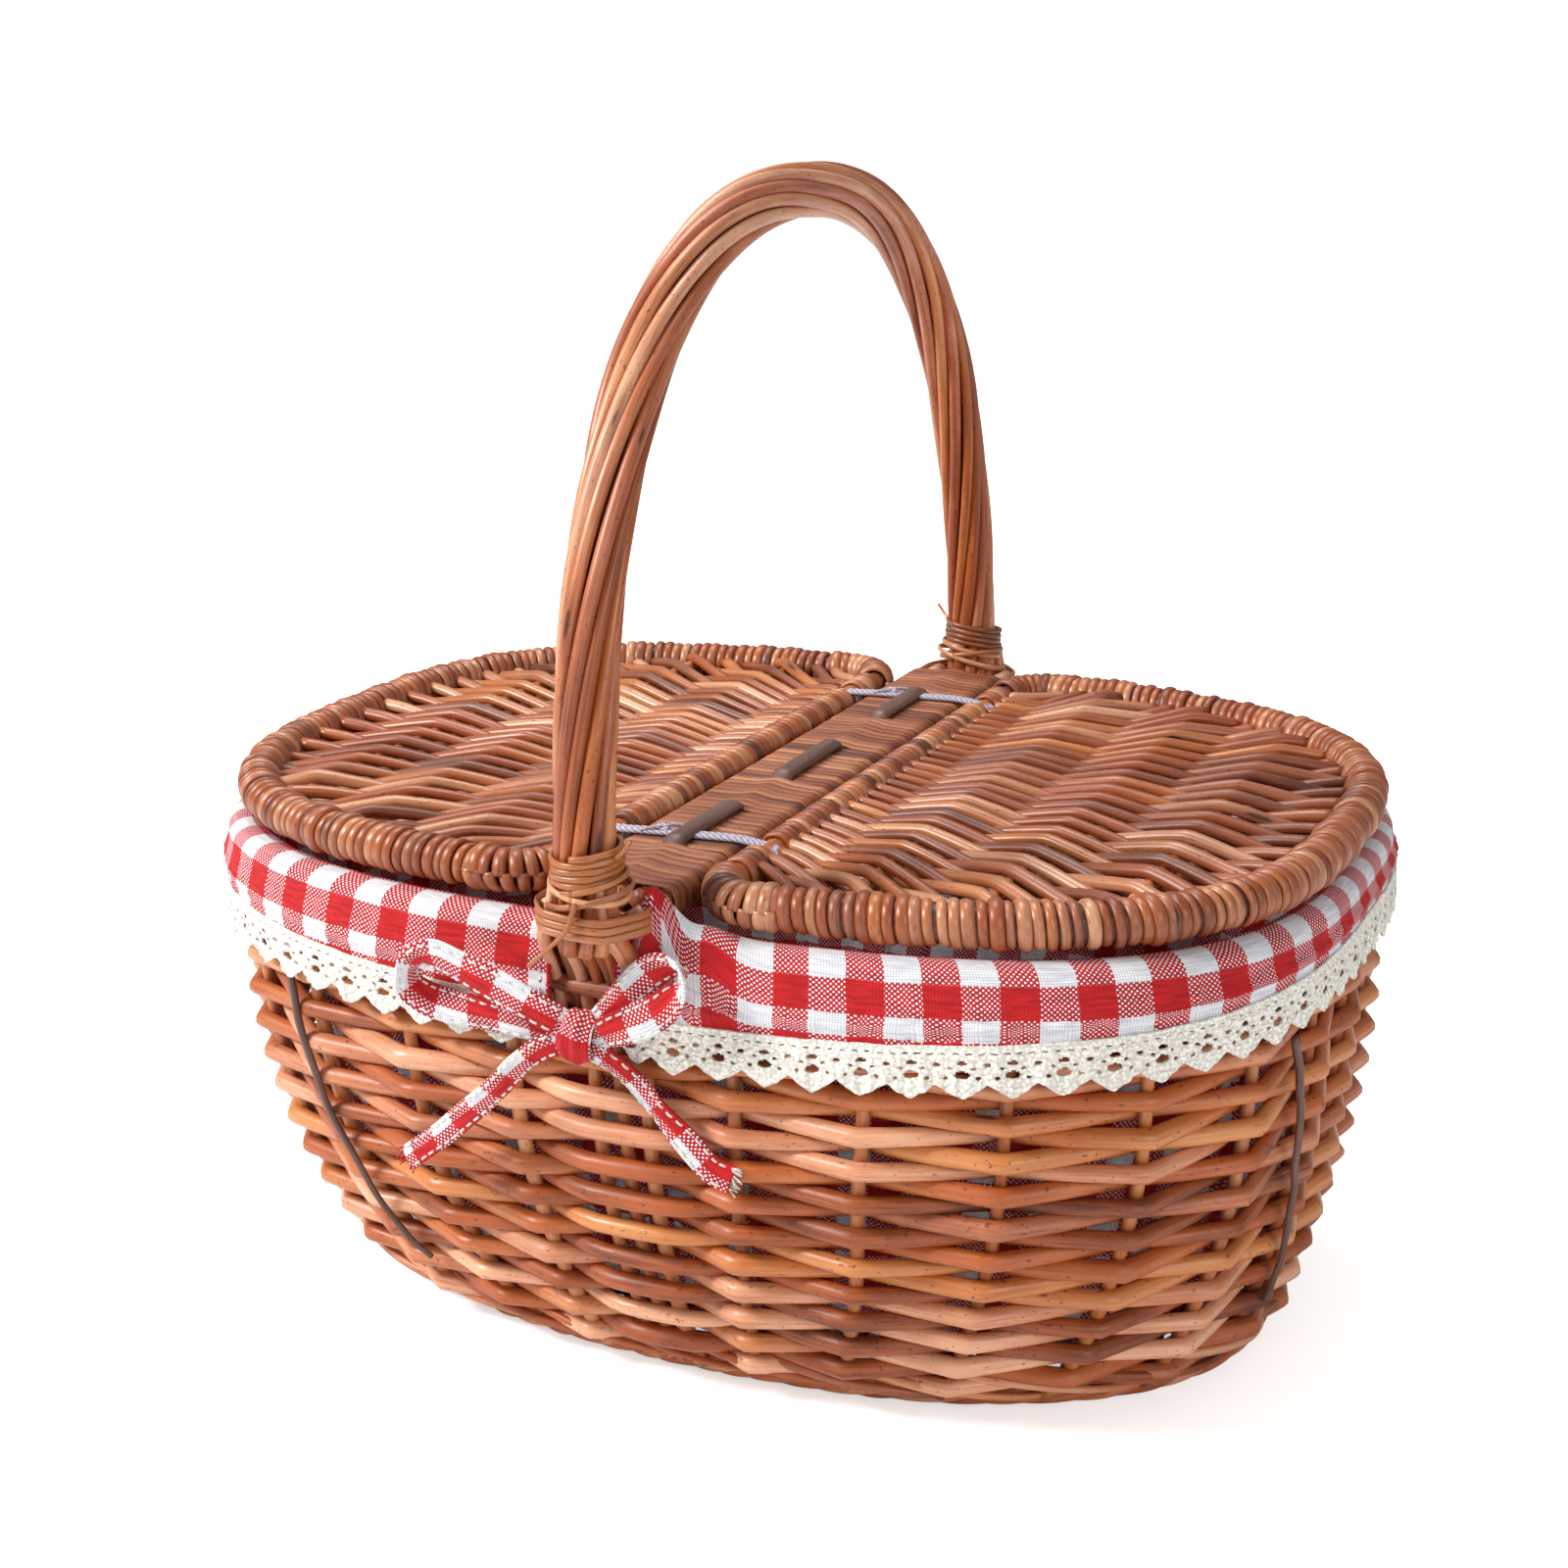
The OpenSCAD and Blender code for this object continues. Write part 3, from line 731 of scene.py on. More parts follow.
@dataclass(frozen=True)
class TwineFinish(Finish):
    """Soft spun twine, its plies turned round each other."""

    pale: str = "#c3bcc9"
    deep: str = "#857c90"
    rough: float = 0.9

    def wire(self, w: Wiring, shader: bpy.types.Node) -> None:
        """Twists the plies.

        Args:
            w: The material's wiring.
            shader: Its surface shader.
        """
        u, v = w.split(w.node("ShaderNodeUVMap", uv_map="Rod").outputs[0])
        ply = w.sum("ADD", w.times(u, 420.0), w.times(v, 3.0))
        ridge = w.sum("ABSOLUTE", w.sum("SINE", w.times(ply, math.pi)))
        fluff = w.noise(w.place(w.times(u, 900.0), v), 1.0, 4.0)
        tone = w.scale(w.sum("MULTIPLY_ADD", fluff, 0.6, w.times(ridge, 0.6)), 0.2, 1.0)
        w.feed(shader.inputs["Base Color"], w.mix(tone, stain(self.deep), stain(self.pale)))
        shader.inputs["Roughness"].default_value = self.rough
        w.raise_by(shader, tone, 0.7, 0.5 * MM)


@dataclass(frozen=True)
class GinghamFinish(Finish):
    """Cotton gingham, matt with a soft nap."""

    check: float = 11.6 * MM
    thread: float = 0.9 * MM
    rough: float = 0.92
    nap: float = 0.03

    def wire(self, w: Wiring, shader: bpy.types.Node) -> None:
        """Weaves the checks.

        Args:
            w: The material's wiring.
            shader: Its surface shader.
        """
        sizes = {"Check": self.check, "Thread": self.thread}
        weave = w.node("ShaderNodeGroup", sizes, node_tree=Gingham.get()).outputs
        w.feed(shader.inputs["Base Color"], weave["Color"])
        shader.inputs["Roughness"].default_value = self.rough
        shader.inputs["Sheen Weight"].default_value = self.nap
        w.raise_by(shader, weave["Height"], 0.45, 0.3 * MM)


@dataclass(frozen=True)
class YarnFinish(Finish):
    """Plain cotton yarn: the crochet lace, the piping and the running stitch."""

    pale: str = "#fbf8ef"
    deep: str = "#e2dccf"
    stitch: float = 760.0
    rough: float = 0.95
    nap: float = 0.05

    def wire(self, w: Wiring, shader: bpy.types.Node) -> None:
        """Knots and spins the yarn.

        Args:
            w: The material's wiring.
            shader: Its surface shader.
        """
        spot = w.node("ShaderNodeTexCoord").outputs["Object"]
        loop = w.node("ShaderNodeTexVoronoi", {"Vector": spot, "Scale": self.stitch}).outputs["Distance"]
        fibre = w.noise(spot, self.stitch * 1.7, 4.0, 0.6)
        tone = w.scale(w.sum("MULTIPLY_ADD", fibre, 0.5, w.sum("SUBTRACT", 1.0, loop)), 0.35, 0.95)
        w.feed(shader.inputs["Base Color"], w.mix(tone, stain(self.deep), stain(self.pale)))
        shader.inputs["Roughness"].default_value = self.rough
        shader.inputs["Sheen Weight"].default_value = self.nap
        w.raise_by(shader, tone, 0.8, 0.6 * MM)


class Wardrobe:
    """Every finish on the basket, each made once."""

    def __init__(self) -> None:
        """Plans every finish; its material is made when a piece first asks for it."""
        self.made = {}
        self.plans = {
            "wall": WillowFinish("willow_wall"),
            "stake": WillowFinish("willow_stake", warm="#b0602e", warm_light="#cd8449", pink="#b56c42",
                                  pink_light="#d99c70"),
            "lid": WillowFinish("willow_lid", deep="#3d1a0b", warm="#97481f", warm_light="#bd7440",
                                pink="#a05a38", pink_light="#d09870", rough=0.38, coat=0.35),
            "handle": WillowFinish("willow_handle", deep="#3c1406", warm="#a8531f", warm_light="#d68a50",
                                   pink="#b56440", pink_light="#eeb690", rough=0.40, coat=0.3),
            # painted shade: this near-black finish on the handle's heart and the lid hoops' cores stands for
            # the shade in the gaps between the rods and turns laid over them
            "dark": WillowFinish("willow_dark", deep="#241008", warm="#4c2413", warm_light="#6e3a20",
                                 pink="#50281a", pink_light="#7a4630", rough=0.5),
            "strip": WillowFinish("split_cane_strip", deep="#40190b", warm="#86431f", warm_light="#a86a40",
                                  pink="#8f4e30", pink_light="#b67a54", rough=0.5, coat=0.1),
            "cane": WillowFinish("cane_binding", deep="#56240c", warm="#a85f2c", warm_light="#cf8d55",
                                 pink="#b06a40", pink_light="#dea67c", rough=0.36, coat=0.45),
            "grey": WillowFinish("grey_stick", deep="#2c1a14", warm="#573527", warm_light="#7a5142",
                                 pink="#5e4036", pink_light="#86655a", rough=0.45),
            "twine": TwineFinish("lashing_twine"),
            "gingham": GinghamFinish("gingham_cotton"),
            "lace": YarnFinish("crochet_cotton"),
            "thread": YarnFinish("white_thread", stitch=1500.0),
            "red_thread": YarnFinish("red_thread", pale="#d8222a", deep="#9a0d16", stitch=1500.0),
        }

    def dress(self, obj: bpy.types.Object, finish: str, slot: Slot) -> bpy.types.Object:
        """Gives a piece its material.

        Args:
            obj: The piece.
            finish: Name of the finish.
            slot: The record's material slot; not used.

        Returns:
            The piece.
        """
        if finish not in self.made:
            self.made[finish] = self.plans[finish].material()
        obj.data.materials.append(self.made[finish])
        return obj


@dataclass
class Maker:
    """What every sub-assembly works with."""

    shape: BodyShape
    wardrobe: Wardrobe

    def finish_piece(self, obj: bpy.types.Object, finish: str, slot: Slot, body: str,
                     stands_for: Sequence[str] = ()) -> bpy.types.Object:
        """Dresses a piece, makes it ride on a body and hides the CAD nodes that it stands for.

        Args:
            obj: The piece.
            finish: Name of its finish.
            slot: The record's material slot; not used.
            body: The body that it rides on.
            stands_for: CAD nodes that it replaces.

        Returns:
            The piece.
        """
        self.wardrobe.dress(obj, finish, slot)
        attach(obj, body)
        if stands_for:
            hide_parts(*stands_for)
        LOG.info("%s: %d faces, on %s", obj.name, len(obj.data.polygons), body)
        return obj

    def on_basket(self, sheaf: Sheaf, finish: str, slot: Slot, *stands_for: str) -> None:
        """Makes a sheaf of rods into a piece that rides on the basket's own body."""
        self.finish_piece(sheaf.build(), finish, slot, "basket", stands_for)


# ---- woven body


@dataclass
class WovenBody:
    """Stakes, woven wall, plaited foot and rim, and the woven bottom."""

    maker: Maker
    row_pitch: float = 6.2 * MM
    rod_r: float = 3.45 * MM
    stake_r: float = 2.5 * MM
    swing: float = 4.7 * MM
    swing_top: float = 3.0 * MM
    first_row: float = 13.5 * MM
    foot_intervals: Tuple[int, int] = (7, 21)
    foot_hold: float = 0.40
    foot_strands: int = 6
    foot_turns: int = 11
    foot_rod_r: float = 2.45 * MM
    rim_strands: int = 3
    rim_turns: int = 19
    rim_rod_r: float = 2.8 * MM
    rim_swing: float = 2.5 * MM
    bottom_pitch: float = 5.2 * MM
    bottom_rod_r: float = 2.6 * MM
    bottom_stick_r: float = 2.2 * MM
    seed: int = 11
    steps: Tuple[float, ...] = (0.0, 0.07, 0.17, 0.32, 0.5, 0.68, 0.83, 0.93)

    def build(self) -> None:
        """Makes every piece of the body."""
        self.stakes()
        self.wall()
        self.loose_sticks()
        self.foot()
        self.rim()
        self.bottom()

    def hold(self, k: int) -> float:
        """Share of an interval over which a weaver stays beside the wide stake group at a handle foot."""
        return self.foot_hold if k % self.maker.shape.stakes in self.foot_intervals else 0.0

    def stakes(self) -> None:
        """The upright stakes, with two more beside each handle foot."""
        shape, rng = self.maker.shape, draws(self.seed)
        angles = list(shape.stake_angle(np.arange(shape.stakes)))
        angles += [math.radians(side + step) for side in (90, 270) for step in (-3.1, 3.0)]
        sheaf = Sheaf("wall_stakes")
        for t in angles:
            z = np.linspace(5.5 * MM, shape.wall_top + 3 * MM, 26)
            wave = Wander(rng, 0.12)
            path = shape.middle(t + wave(z) * 0.003, z, 0.25 * MM * wave(z + 1))
            radius = self.stake_r * lerp(1.06, 0.9, z / shape.wall_top) * rng.uniform(0.92, 1.06)
            sheaf.add(path, radius, rng.random(), up=shape.out(t, 0.1), sides=10)
        self.maker.on_basket(sheaf, "stake", Slot.WILLOW_DARK, "side_stakes")

    def row_points(self, start: int, count: int, parity: int, z: Array, swing: float) -> Array:
        """Plan and height of one weaver.

        Args:
            start: Stake that the weaver starts behind.
            count: Intervals that it runs over.
            parity: 0 or 1, which stakes it passes in front of.
            z: Height at each point.
            swing: How far it moves in and out.

        Returns:
            The weaver's centre points.
        """
        shape, points, number = self.maker.shape, [], 0
        for k in range(start, start + count):
            ends = []
            for stake in (k, k + 1):
                way = 1.0 if (stake + parity) % 2 == 0 else -1.0
                ends.append((shape.stake_angle(stake), way * swing))
            steps = self.steps if k < start + count - 1 else self.steps + (1.0,)
            for f in steps:
                zz = z[number]
                hold_a, hold_b = self.hold(k), self.hold(k + 1)
                g = min(max((f - hold_a) / (1 - hold_a - hold_b), 0.0), 1.0)
                base = lerp(shape.middle(ends[0][0], zz), shape.middle(ends[1][0], zz), f)
                out = lerp(shape.out(ends[0][0], zz), shape.out(ends[1][0], zz), f)
                points.append(base + out * lerp(ends[0][1], ends[1][1], g))
                number += 1
        return np.array(points)

    def wall(self) -> None:
        """The randed wall: each row's rods pass in front of one stake and behind the next."""
        shape, rng = self.maker.shape, draws(self.seed + 1)
        sheaf = Sheaf("wall_weave")
        rows = int(round((shape.wall_top - 2 * MM - self.first_row) / self.row_pitch)) + 1
        per = len(self.steps)
        for row in range(rows):
            parity = row % 2
            z_row = self.first_row + row * self.row_pitch
            wave = Wander(rng, 9.0, 5)
            at = int(rng.integers(0, shape.stakes // 2)) * 2 + (1 - parity)
            left = shape.stakes
            while left > 0:
                count = int(rng.choice([4, 6, 6, 8]))
                count = left if left - count < 4 else count
                n = count * per + 1
                k = at + np.arange(n) / per
                z = z_row + 0.55 * MM * wave(k) + 0.25 * MM * rng.uniform(-1, 1)
                swing = lerp(self.swing, self.swing_top, ramp(z_row, 118 * MM, 138 * MM))
                path = self.row_points(at, count, parity, z, swing)
                front = 0.5 + 0.5 * np.cos(math.pi * (k + parity))
                run = np.linspace(0, 1, n)
                radius = (self.rod_r * lerp(0.76, 1.04, front ** 0.6) * lerp(1.07, 0.88, run)
                          * rng.uniform(0.93, 1.05))
                radius[:3] *= (0.45, 0.75, 0.95)
                radius[-3:] *= (0.9, 0.7, 0.4)
                sheaf.add(path, radius, rng.random(), sides=10)
                at += count
                left -= count
        self.maker.on_basket(sheaf, "wall", Slot.WILLOW, "side_weave")

    def loose_sticks(self) -> None:
        """Two thin dark sticks that run down over the weave, one near each end of the front."""
        shape, rng = self.maker.shape, draws(self.seed + 8)
        sheaf = Sheaf("dark_loose_sticks")
        for top, foot, high, low in ((-21.5, -14.5, 141, 34), (231.0, 236.5, 139, 30)):
            f = np.linspace(0, 1, 40)
            t = np.radians(lerp(top, foot, f)) + 0.008 * Wander(rng, 0.5)(f)
            z = lerp(high * MM, low * MM, f)
            path = shape.at(t, z, lerp(0.8 * MM, 1.9 * MM, ramp(f, 0.0, 0.2)) - 1.5 * MM * ramp(f, 0.93, 1.0))
            sheaf.add(path, lerp(1.5 * MM, 1.1 * MM, f), rng.random(), up=shape.out(np.radians(top), 0.1))
        self.maker.on_basket(sheaf, "grey", Slot.GREY_STICK)

    def foot(self) -> None:
        """The plaited foot, with the finer closing rods that cross from the wall down into it."""
        shape, rng = self.maker.shape, draws(self.seed + 2)
        sheaf = Sheaf("foot_plait")
        t = np.linspace(0, 2 * math.pi, 421)
        for strand in range(self.foot_strands):
            wave = Wander(rng, 1.2)
            turn = 2 * math.pi * (strand / self.foot_strands) + self.foot_turns * t + 0.35 * wave(t * 2)
            base = shape.at(t, 0.0, -7.1 * MM)
            out = shape.out(t, 0.0)
            path = base + out * (4.3 * MM * np.cos(turn))[:, None]
            path[:, 2] = 5.3 * MM + 2.7 * MM * np.sin(turn)
            sheaf.add(path, self.foot_rod_r * rng.uniform(0.9, 1.04), rng.random())
        for k in range(shape.stakes):
            span = np.linspace(0, 1, 26)
            angle = shape.stake_angle(k) + span * shape.stake_angle(2.3)
            z = lerp(16.5 * MM, 6.5 * MM, ramp(span, 0.0, 1.0)) + 0.8 * MM * rng.uniform(-1, 1)
            off = -8.5 * MM + 7.2 * MM * np.sin(math.pi * np.clip(span * 1.05, 0, 1)) ** 0.8
            radius = 1.9 * MM * rng.uniform(0.75, 1.15) * lerp(1.0, 0.75, span)
            sheaf.add(shape.at(angle, z, off), radius, rng.random())
        self.maker.on_basket(sheaf, "wall", Slot.WILLOW_DARK, "foot_border")

    def rim(self) -> None:
        """The plaited rim under the liner."""
        shape, rng = self.maker.shape, draws(self.seed + 3)
        sheaf = Sheaf("rim_plait")
        t = np.linspace(0, 2 * math.pi, 421)
        for strand in range(self.rim_strands):
            turn = 2 * math.pi * strand / self.rim_strands + self.rim_turns * t
            base = shape.middle(t, shape.wall_top)
            path = base + shape.out(t, base[:, 2]) * (self.rim_swing * np.cos(turn))[:, None]
            path[:, 2] = shape.border_z + self.rim_swing * np.sin(turn)
            sheaf.add(path, self.rim_rod_r, rng.random())
        self.maker.on_basket(sheaf, "wall", Slot.WILLOW_DARK, "rim_border")

    def bottom(self) -> None:
        """The woven bottom with its cross sticks."""
        rng = draws(self.seed + 4)
        lo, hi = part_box("base_weave")
        a, b, mid = hi[0], hi[1], (lo[2] + hi[2]) / 2
        n = self.maker.shape.base_n
        sticks = Sheaf("bottom_sticks")
        stick_lo, stick_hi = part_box("base_sticks")
        xs = np.linspace(stick_lo[0], stick_hi[0], 9)
        for x in xs:
            reach = b * (1 - min(abs(x) / a, 1) ** n) ** (1 / n) - 3 * MM
            path = spots(x, np.linspace(-reach, reach, 12), mid)
            sticks.add(path, self.bottom_stick_r, rng.random())
        self.maker.on_basket(sticks, "stake", Slot.WILLOW_DARK, "base_sticks")
        weave = Sheaf("bottom_weave")
        rows = int(2 * (b - 3 * MM) / self.bottom_pitch)
        for row in range(rows):
            y = -b + 5 * MM + row * (2 * b - 10 * MM) / (rows - 1)
            reach = a * (1 - min(abs(y) / b, 1) ** n) ** (1 / n) - 1 * MM
            x = np.linspace(-reach, reach, 90)
            z = mid + 2.0 * MM * np.cos(math.pi * ((x - xs[0]) / (xs[1] - xs[0]) + row))
            weave.add(spots(x, y, z), self.bottom_rod_r * rng.uniform(0.9, 1.05), rng.random())
        self.maker.on_basket(weave, "wall", Slot.WILLOW, "base_weave")


# ---- handle and bar


@dataclass
class ArchedHandle:
    """The handle: rods twisted together over a heart finished near black as painted shade for the gaps
    between them, bound with cane above each foot.
    """

    maker: Maker
    rods: int = 10
    rod_r: float = 2.25 * MM
    turns: float = 1.75
    squareness: float = 2.4
    lean: float = 4.5 * MM
    cane_turns: float = 4.5
    cane_pitch: float = 2.15 * MM
    cane_ring: float = 10.9 * MM
    fan_rods: int = 8
    seed: int = 31

    def __post_init__(self) -> None:
        """Reads the handle's sizes from the frame."""
        lo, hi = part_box("handle_core")
        self.heart_r = hi[0]
        self.foot_y = hi[1] - self.heart_r
        self.low = lo[2]
        self.lift = hi[2] - self.heart_r - self.low

    def arch(self, u: Array) -> Array:
        """Centre of the handle; u runs from 0 at the front foot to 1 at the back one.

        Args:
            u: How far round, 0 to 1.

        Returns:
            Points in metres.
        """
        c, s = np.cos(math.pi * u), np.clip(np.sin(math.pi * u), 0, 1)
        e = 2 / self.squareness
        return spots(-self.lean * s ** 0.8, -self.foot_y * np.sign(c) * np.abs(c) ** e,
                     self.low + self.lift * s ** e)

    def build(self) -> None:
        """Makes every piece of the handle."""
        path = resample(self.arch(np.linspace(0, 1, 2001)), 3 * MM)
        path = np.vstack([path[0] - (0, 0, 5 * MM), path, path[-1] - (0, 0, 5 * MM)])
        heart = Sheaf("handle_heart")
        # painted shade: the heart is finished near black to stand for the shade in the gaps between the
        # twisted rods
        heart.add(path, self.heart_r * 1.05, 0.3, up=ALONG_X, sides=14)
        self.maker.on_basket(heart, "dark", Slot.WILLOW_DARK, "handle_core")
        self.twisted(path)
        for front in (True, False):
            self.binding(front)
            self.fan(front)

    def twisted(self, path: Array) -> None:
        """The rods that turn round the heart.

        Args:
            path: Centre of the handle, foot to foot.
        """
        rng = draws(self.seed)
        sheaf = Sheaf("handle_rods_twisted")
        along = lengths(path)
        d = unit(np.gradient(path, axis=0))
        inward = np.cross(d, ALONG_X)
        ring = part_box("handle_rods")[1][0] - self.rod_r - 0.1 * MM
        for k in range(self.rods):
            wave, swell, lift = Wander(rng, 0.45), Wander(rng, 0.25), Wander(rng, 0.3)
            turn = 2 * math.pi * (k / self.rods + self.turns * along / along[-1]) + 0.13 * wave(along)
            r = ring + 0.55 * MM * lift(along)
            p = path + r[:, None] * (np.cos(turn)[:, None] * ALONG_X + np.sin(turn)[:, None] * inward)
            taper = lerp(1.08, 0.92, along / along[-1]) if k % 2 else lerp(0.92, 1.08, along / along[-1])
            radius = self.rod_r * taper * (1 + 0.06 * swell(along)) * rng.uniform(0.95, 1.08)
            sheaf.add(p, radius, rng.random(), up=ALONG_X, sides=12)
        self.maker.on_basket(sheaf, "handle", Slot.WILLOW, "handle_rods")

    def binding(self, front: bool) -> None:
        """Thin cane turned five times round the leg, then three looser turns below.

        Args:
            front: Whether this is the front foot.
        """
        rng = draws(self.seed + (2 if front else 3))
        name = "front" if front else "back"
        sheaf = Sheaf(f"cane_turns_{name}")
        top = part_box(f"handle_binding_{name}")[1][2] - 4 * MM
        centre = np.array([0, -self.foot_y, 0])
        turn = np.linspace(0, 2 * math.pi * self.cane_turns, 241)
        r = self.cane_ring + 0.25 * MM * np.sin(turn * 5.3)
        z = top - self.cane_pitch * turn / (2 * math.pi) + 1.1 * MM * np.sin(turn) - 1.2 * MM * np.cos(turn)
        wrap = spots(r * np.sin(turn), -r * np.cos(turn), z)
        out = spots(np.sin(turn), -np.cos(turn), 0.0)
        sheaf.add(half_turn(centre + wrap, not front), 1.15 * MM, rng.random(), flat=0.7,
                  up=half_turn(out, not front))
        for k in range(3):
            turn = np.linspace(0, 2 * math.pi, 61)
            lean = (2.6, -2.2, 3.4)[k] * MM
            z = top - (10.6 + 2.1 * k) * MM + lean * np.sin(turn) - 1.2 * MM * np.cos(turn)
            wide = (11.8, 12.8, 13.8)[k] * MM
            path = spots(wide * np.sin(turn) + 0.8 * MM, -11.2 * MM * np.cos(turn), z)
            out = spots(np.sin(turn), -np.cos(turn), 0.0)
            sheaf.add(half_turn(centre + path, not front), 1.1 * MM, rng.random(), flat=0.6,
                      up=half_turn(out, not front))
        for points in (((3, -13.5, top / MM - 14), (1, -15, top / MM - 22), (-7, -14, top / MM - 30),
                        (-15, -12, top / MM - 37)),
                       ((12.5, -4, top / MM - 1), (16, -6, top / MM + 2), (18, -5, top / MM + 5.5))):
            stray = curve_through(points, 1 * MM, 6)
            sheaf.add(half_turn(centre + stray, not front), np.linspace(0.95, 0.5, len(stray)) * MM,
                      rng.random(), sides=6)
        self.maker.on_basket(sheaf, "cane", Slot.CANE, f"handle_binding_{name}")

    def fan(self, front: bool) -> None:
        """Rods that spread from the binding down over the wall and tuck into the weave.

        Args:
            front: Whether this is the front foot.
        """
        rng = draws(self.seed + (4 if front else 5))
        name = "front" if front else "back"
        sheaf = Sheaf(f"foot_fan_{name}")
        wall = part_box("side_weave")[0][1] / MM
        foot = -self.foot_y / MM
        for k in range(self.fan_rods):
            x = -10.5 + 3.0 * k
            spread = 1.5 * x - 3.0 + rng.uniform(-1.5, 1.5)
            depth = 1.2 * (k % 2)
            points = [(x * 0.85, foot - 4.5 + depth, 197), (x * 0.95, foot - 4.5 + depth, 189),
                      (lerp(x, spread, 0.45), foot - 3.0 + depth, 181), (spread, wall - 5.0 + depth, 170.5),
                      (spread - 0.5, wall + 1.0, 163), (spread - 0.8, wall + 5.5, 153),
                      (spread - 0.8, wall + 6.5, 140)]
            path = curve_through(points, 2 * MM, 5)
            radius = np.linspace(2.3, 1.9, len(path)) * MM * rng.uniform(0.9, 1.05)
            sheaf.add(half_turn(path, not front), radius, rng.random(), up=ALONG_Y, sides=10)
        self.maker.on_basket(sheaf, "handle", Slot.WILLOW, f"handle_tails_{name}")


@dataclass
class CentreBar:
    """The fixed bar between the lids: sticks wrapped with split cane, one dark stick, twine lashings."""

    maker: Maker
    strip_w: float = 4.25 * MM
    strip_t: float = 1.1 * MM
    stick_r: float = 3.55 * MM
    twine_r: float = 0.85 * MM
    windows: Tuple[Tuple[float, float], ...] = ((-110, -64), (-26, 21), (64, 107))
    seed: int = 51

    def __post_init__(self) -> None:
        """Reads the bar's sizes from the frame."""
        lo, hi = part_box("bar_wrap")
        self.half_w, self.half_h = hi[0], (hi[2] - lo[2]) / 2
        self.z, self.half_l = (hi[2] + lo[2]) / 2, hi[1]
        self.lash_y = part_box("hinge_cord_back")[1][1] - 2.5 * MM

    def build(self) -> None:
        """Makes every piece of the bar."""
        rng = draws(self.seed)
        sticks = Sheaf("bar_stick_bundle")
        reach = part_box("bar_sticks")[1][1]
        for k in range(-2, 3):
            end = reach if abs(k) == 2 else self.half_l
            y = np.linspace(-end, end, 40)
            sticks.add(spots(k * 7.4 * MM, y, self.z), self.stick_r, rng.random(), sides=10)
        self.maker.on_basket(sticks, "handle", Slot.WILLOW_DARK, "bar_sticks")
        self.strips(rng)
        self.dark_stick(rng)
        for name in ("front", "back"):
            self.twine(name)
            self.end_wraps(name)

    def shown(self, y: Array) -> Array:
        """1 where the dark stick lies over the strips, 0 where it passes under them."""
        y = np.asarray(y) / MM
        return sum(ramp(y, a - 2, a + 2) * (1 - ramp(y, b - 2, b + 2)) for a, b in self.windows)

    def strips(self, rng: np.random.Generator) -> None:
        """Split cane turned round the bar, each turn beside the last.

        Args:
            rng: Source of the random draws.
        """
        sheaf = Sheaf("bar_cane_turns")
        count = int(2 * self.half_l / (self.strip_w + 0.1 * MM))
        corner = 4.2 * MM
        a, b = self.half_w - self.strip_t * 0.6, self.half_h - self.strip_t * 0.6
        section = []
        for cx, cz, start in ((a - corner, b - corner, 0), (-a + corner, b - corner, 90),
                              (-a + corner, -b + corner, 180), (a - corner, -b + corner, 270)):
            for step in range(0, 91, 15):
                angle = math.radians(start + step)
                section.append((cx + corner * math.cos(angle), cz + corner * math.sin(angle), math.cos(angle),
                                math.sin(angle)))
        for extra in (0.66, 0.33, 0.0, -0.33, -0.66):
            section.append((a * extra, b, 0.0, 1.0))
        section = sorted(section, key=lambda q: math.atan2(q[1] * 3, q[0]))
        ring = np.array(section + section[:1])
        for k in range(count):
            y0 = -self.half_l + (k + 0.5) * 2 * self.half_l / count
            lean = rng.uniform(-0.5, 0.5) * MM
            hump = ((1 - float(self.shown(y0))) * 1.5 * MM * np.exp(-((ring[:, 0] / (5.0 * MM)) ** 2))
                    * (ring[:, 1] > 0))
            path = spots(ring[:, 0], y0 + lean * ring[:, 0] / a, self.z + ring[:, 1] + hump)
            path[:, 2] += rng.uniform(-0.12, 0.12) * MM
            up = spots(ring[:, 2], 0.0, ring[:, 3])
            wide = self.strip_w / 2 * rng.uniform(0.95, 1.03)
            sheaf.add(path, wide, rng.random(), flat=0.26, up=up, sides=10)
        self.maker.on_basket(sheaf, "strip", Slot.CANE, "bar_wrap")

    def dark_stick(self, rng: np.random.Generator) -> None:
        """The dark stick threaded along the bar, over the turns in three places.

        Args:
            rng: Source of the random draws.
        """
        sheaf = Sheaf("dark_threaded_stick")
        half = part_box("bar_dark_stick")[1][1]
        y = np.linspace(-half, half, 220)
        z = self.z + self.half_h + lerp(-1.6 * MM, 1.35 * MM, self.shown(y))
        x = 0.4 * MM * Wander(rng, 0.2)(y)
        sheaf.add(spots(x, y, z), 4.0 * MM, 0.5, flat=0.5, sides=14)
        self.maker.on_basket(sheaf, "grey", Slot.GREY_STICK, "bar_dark_stick")

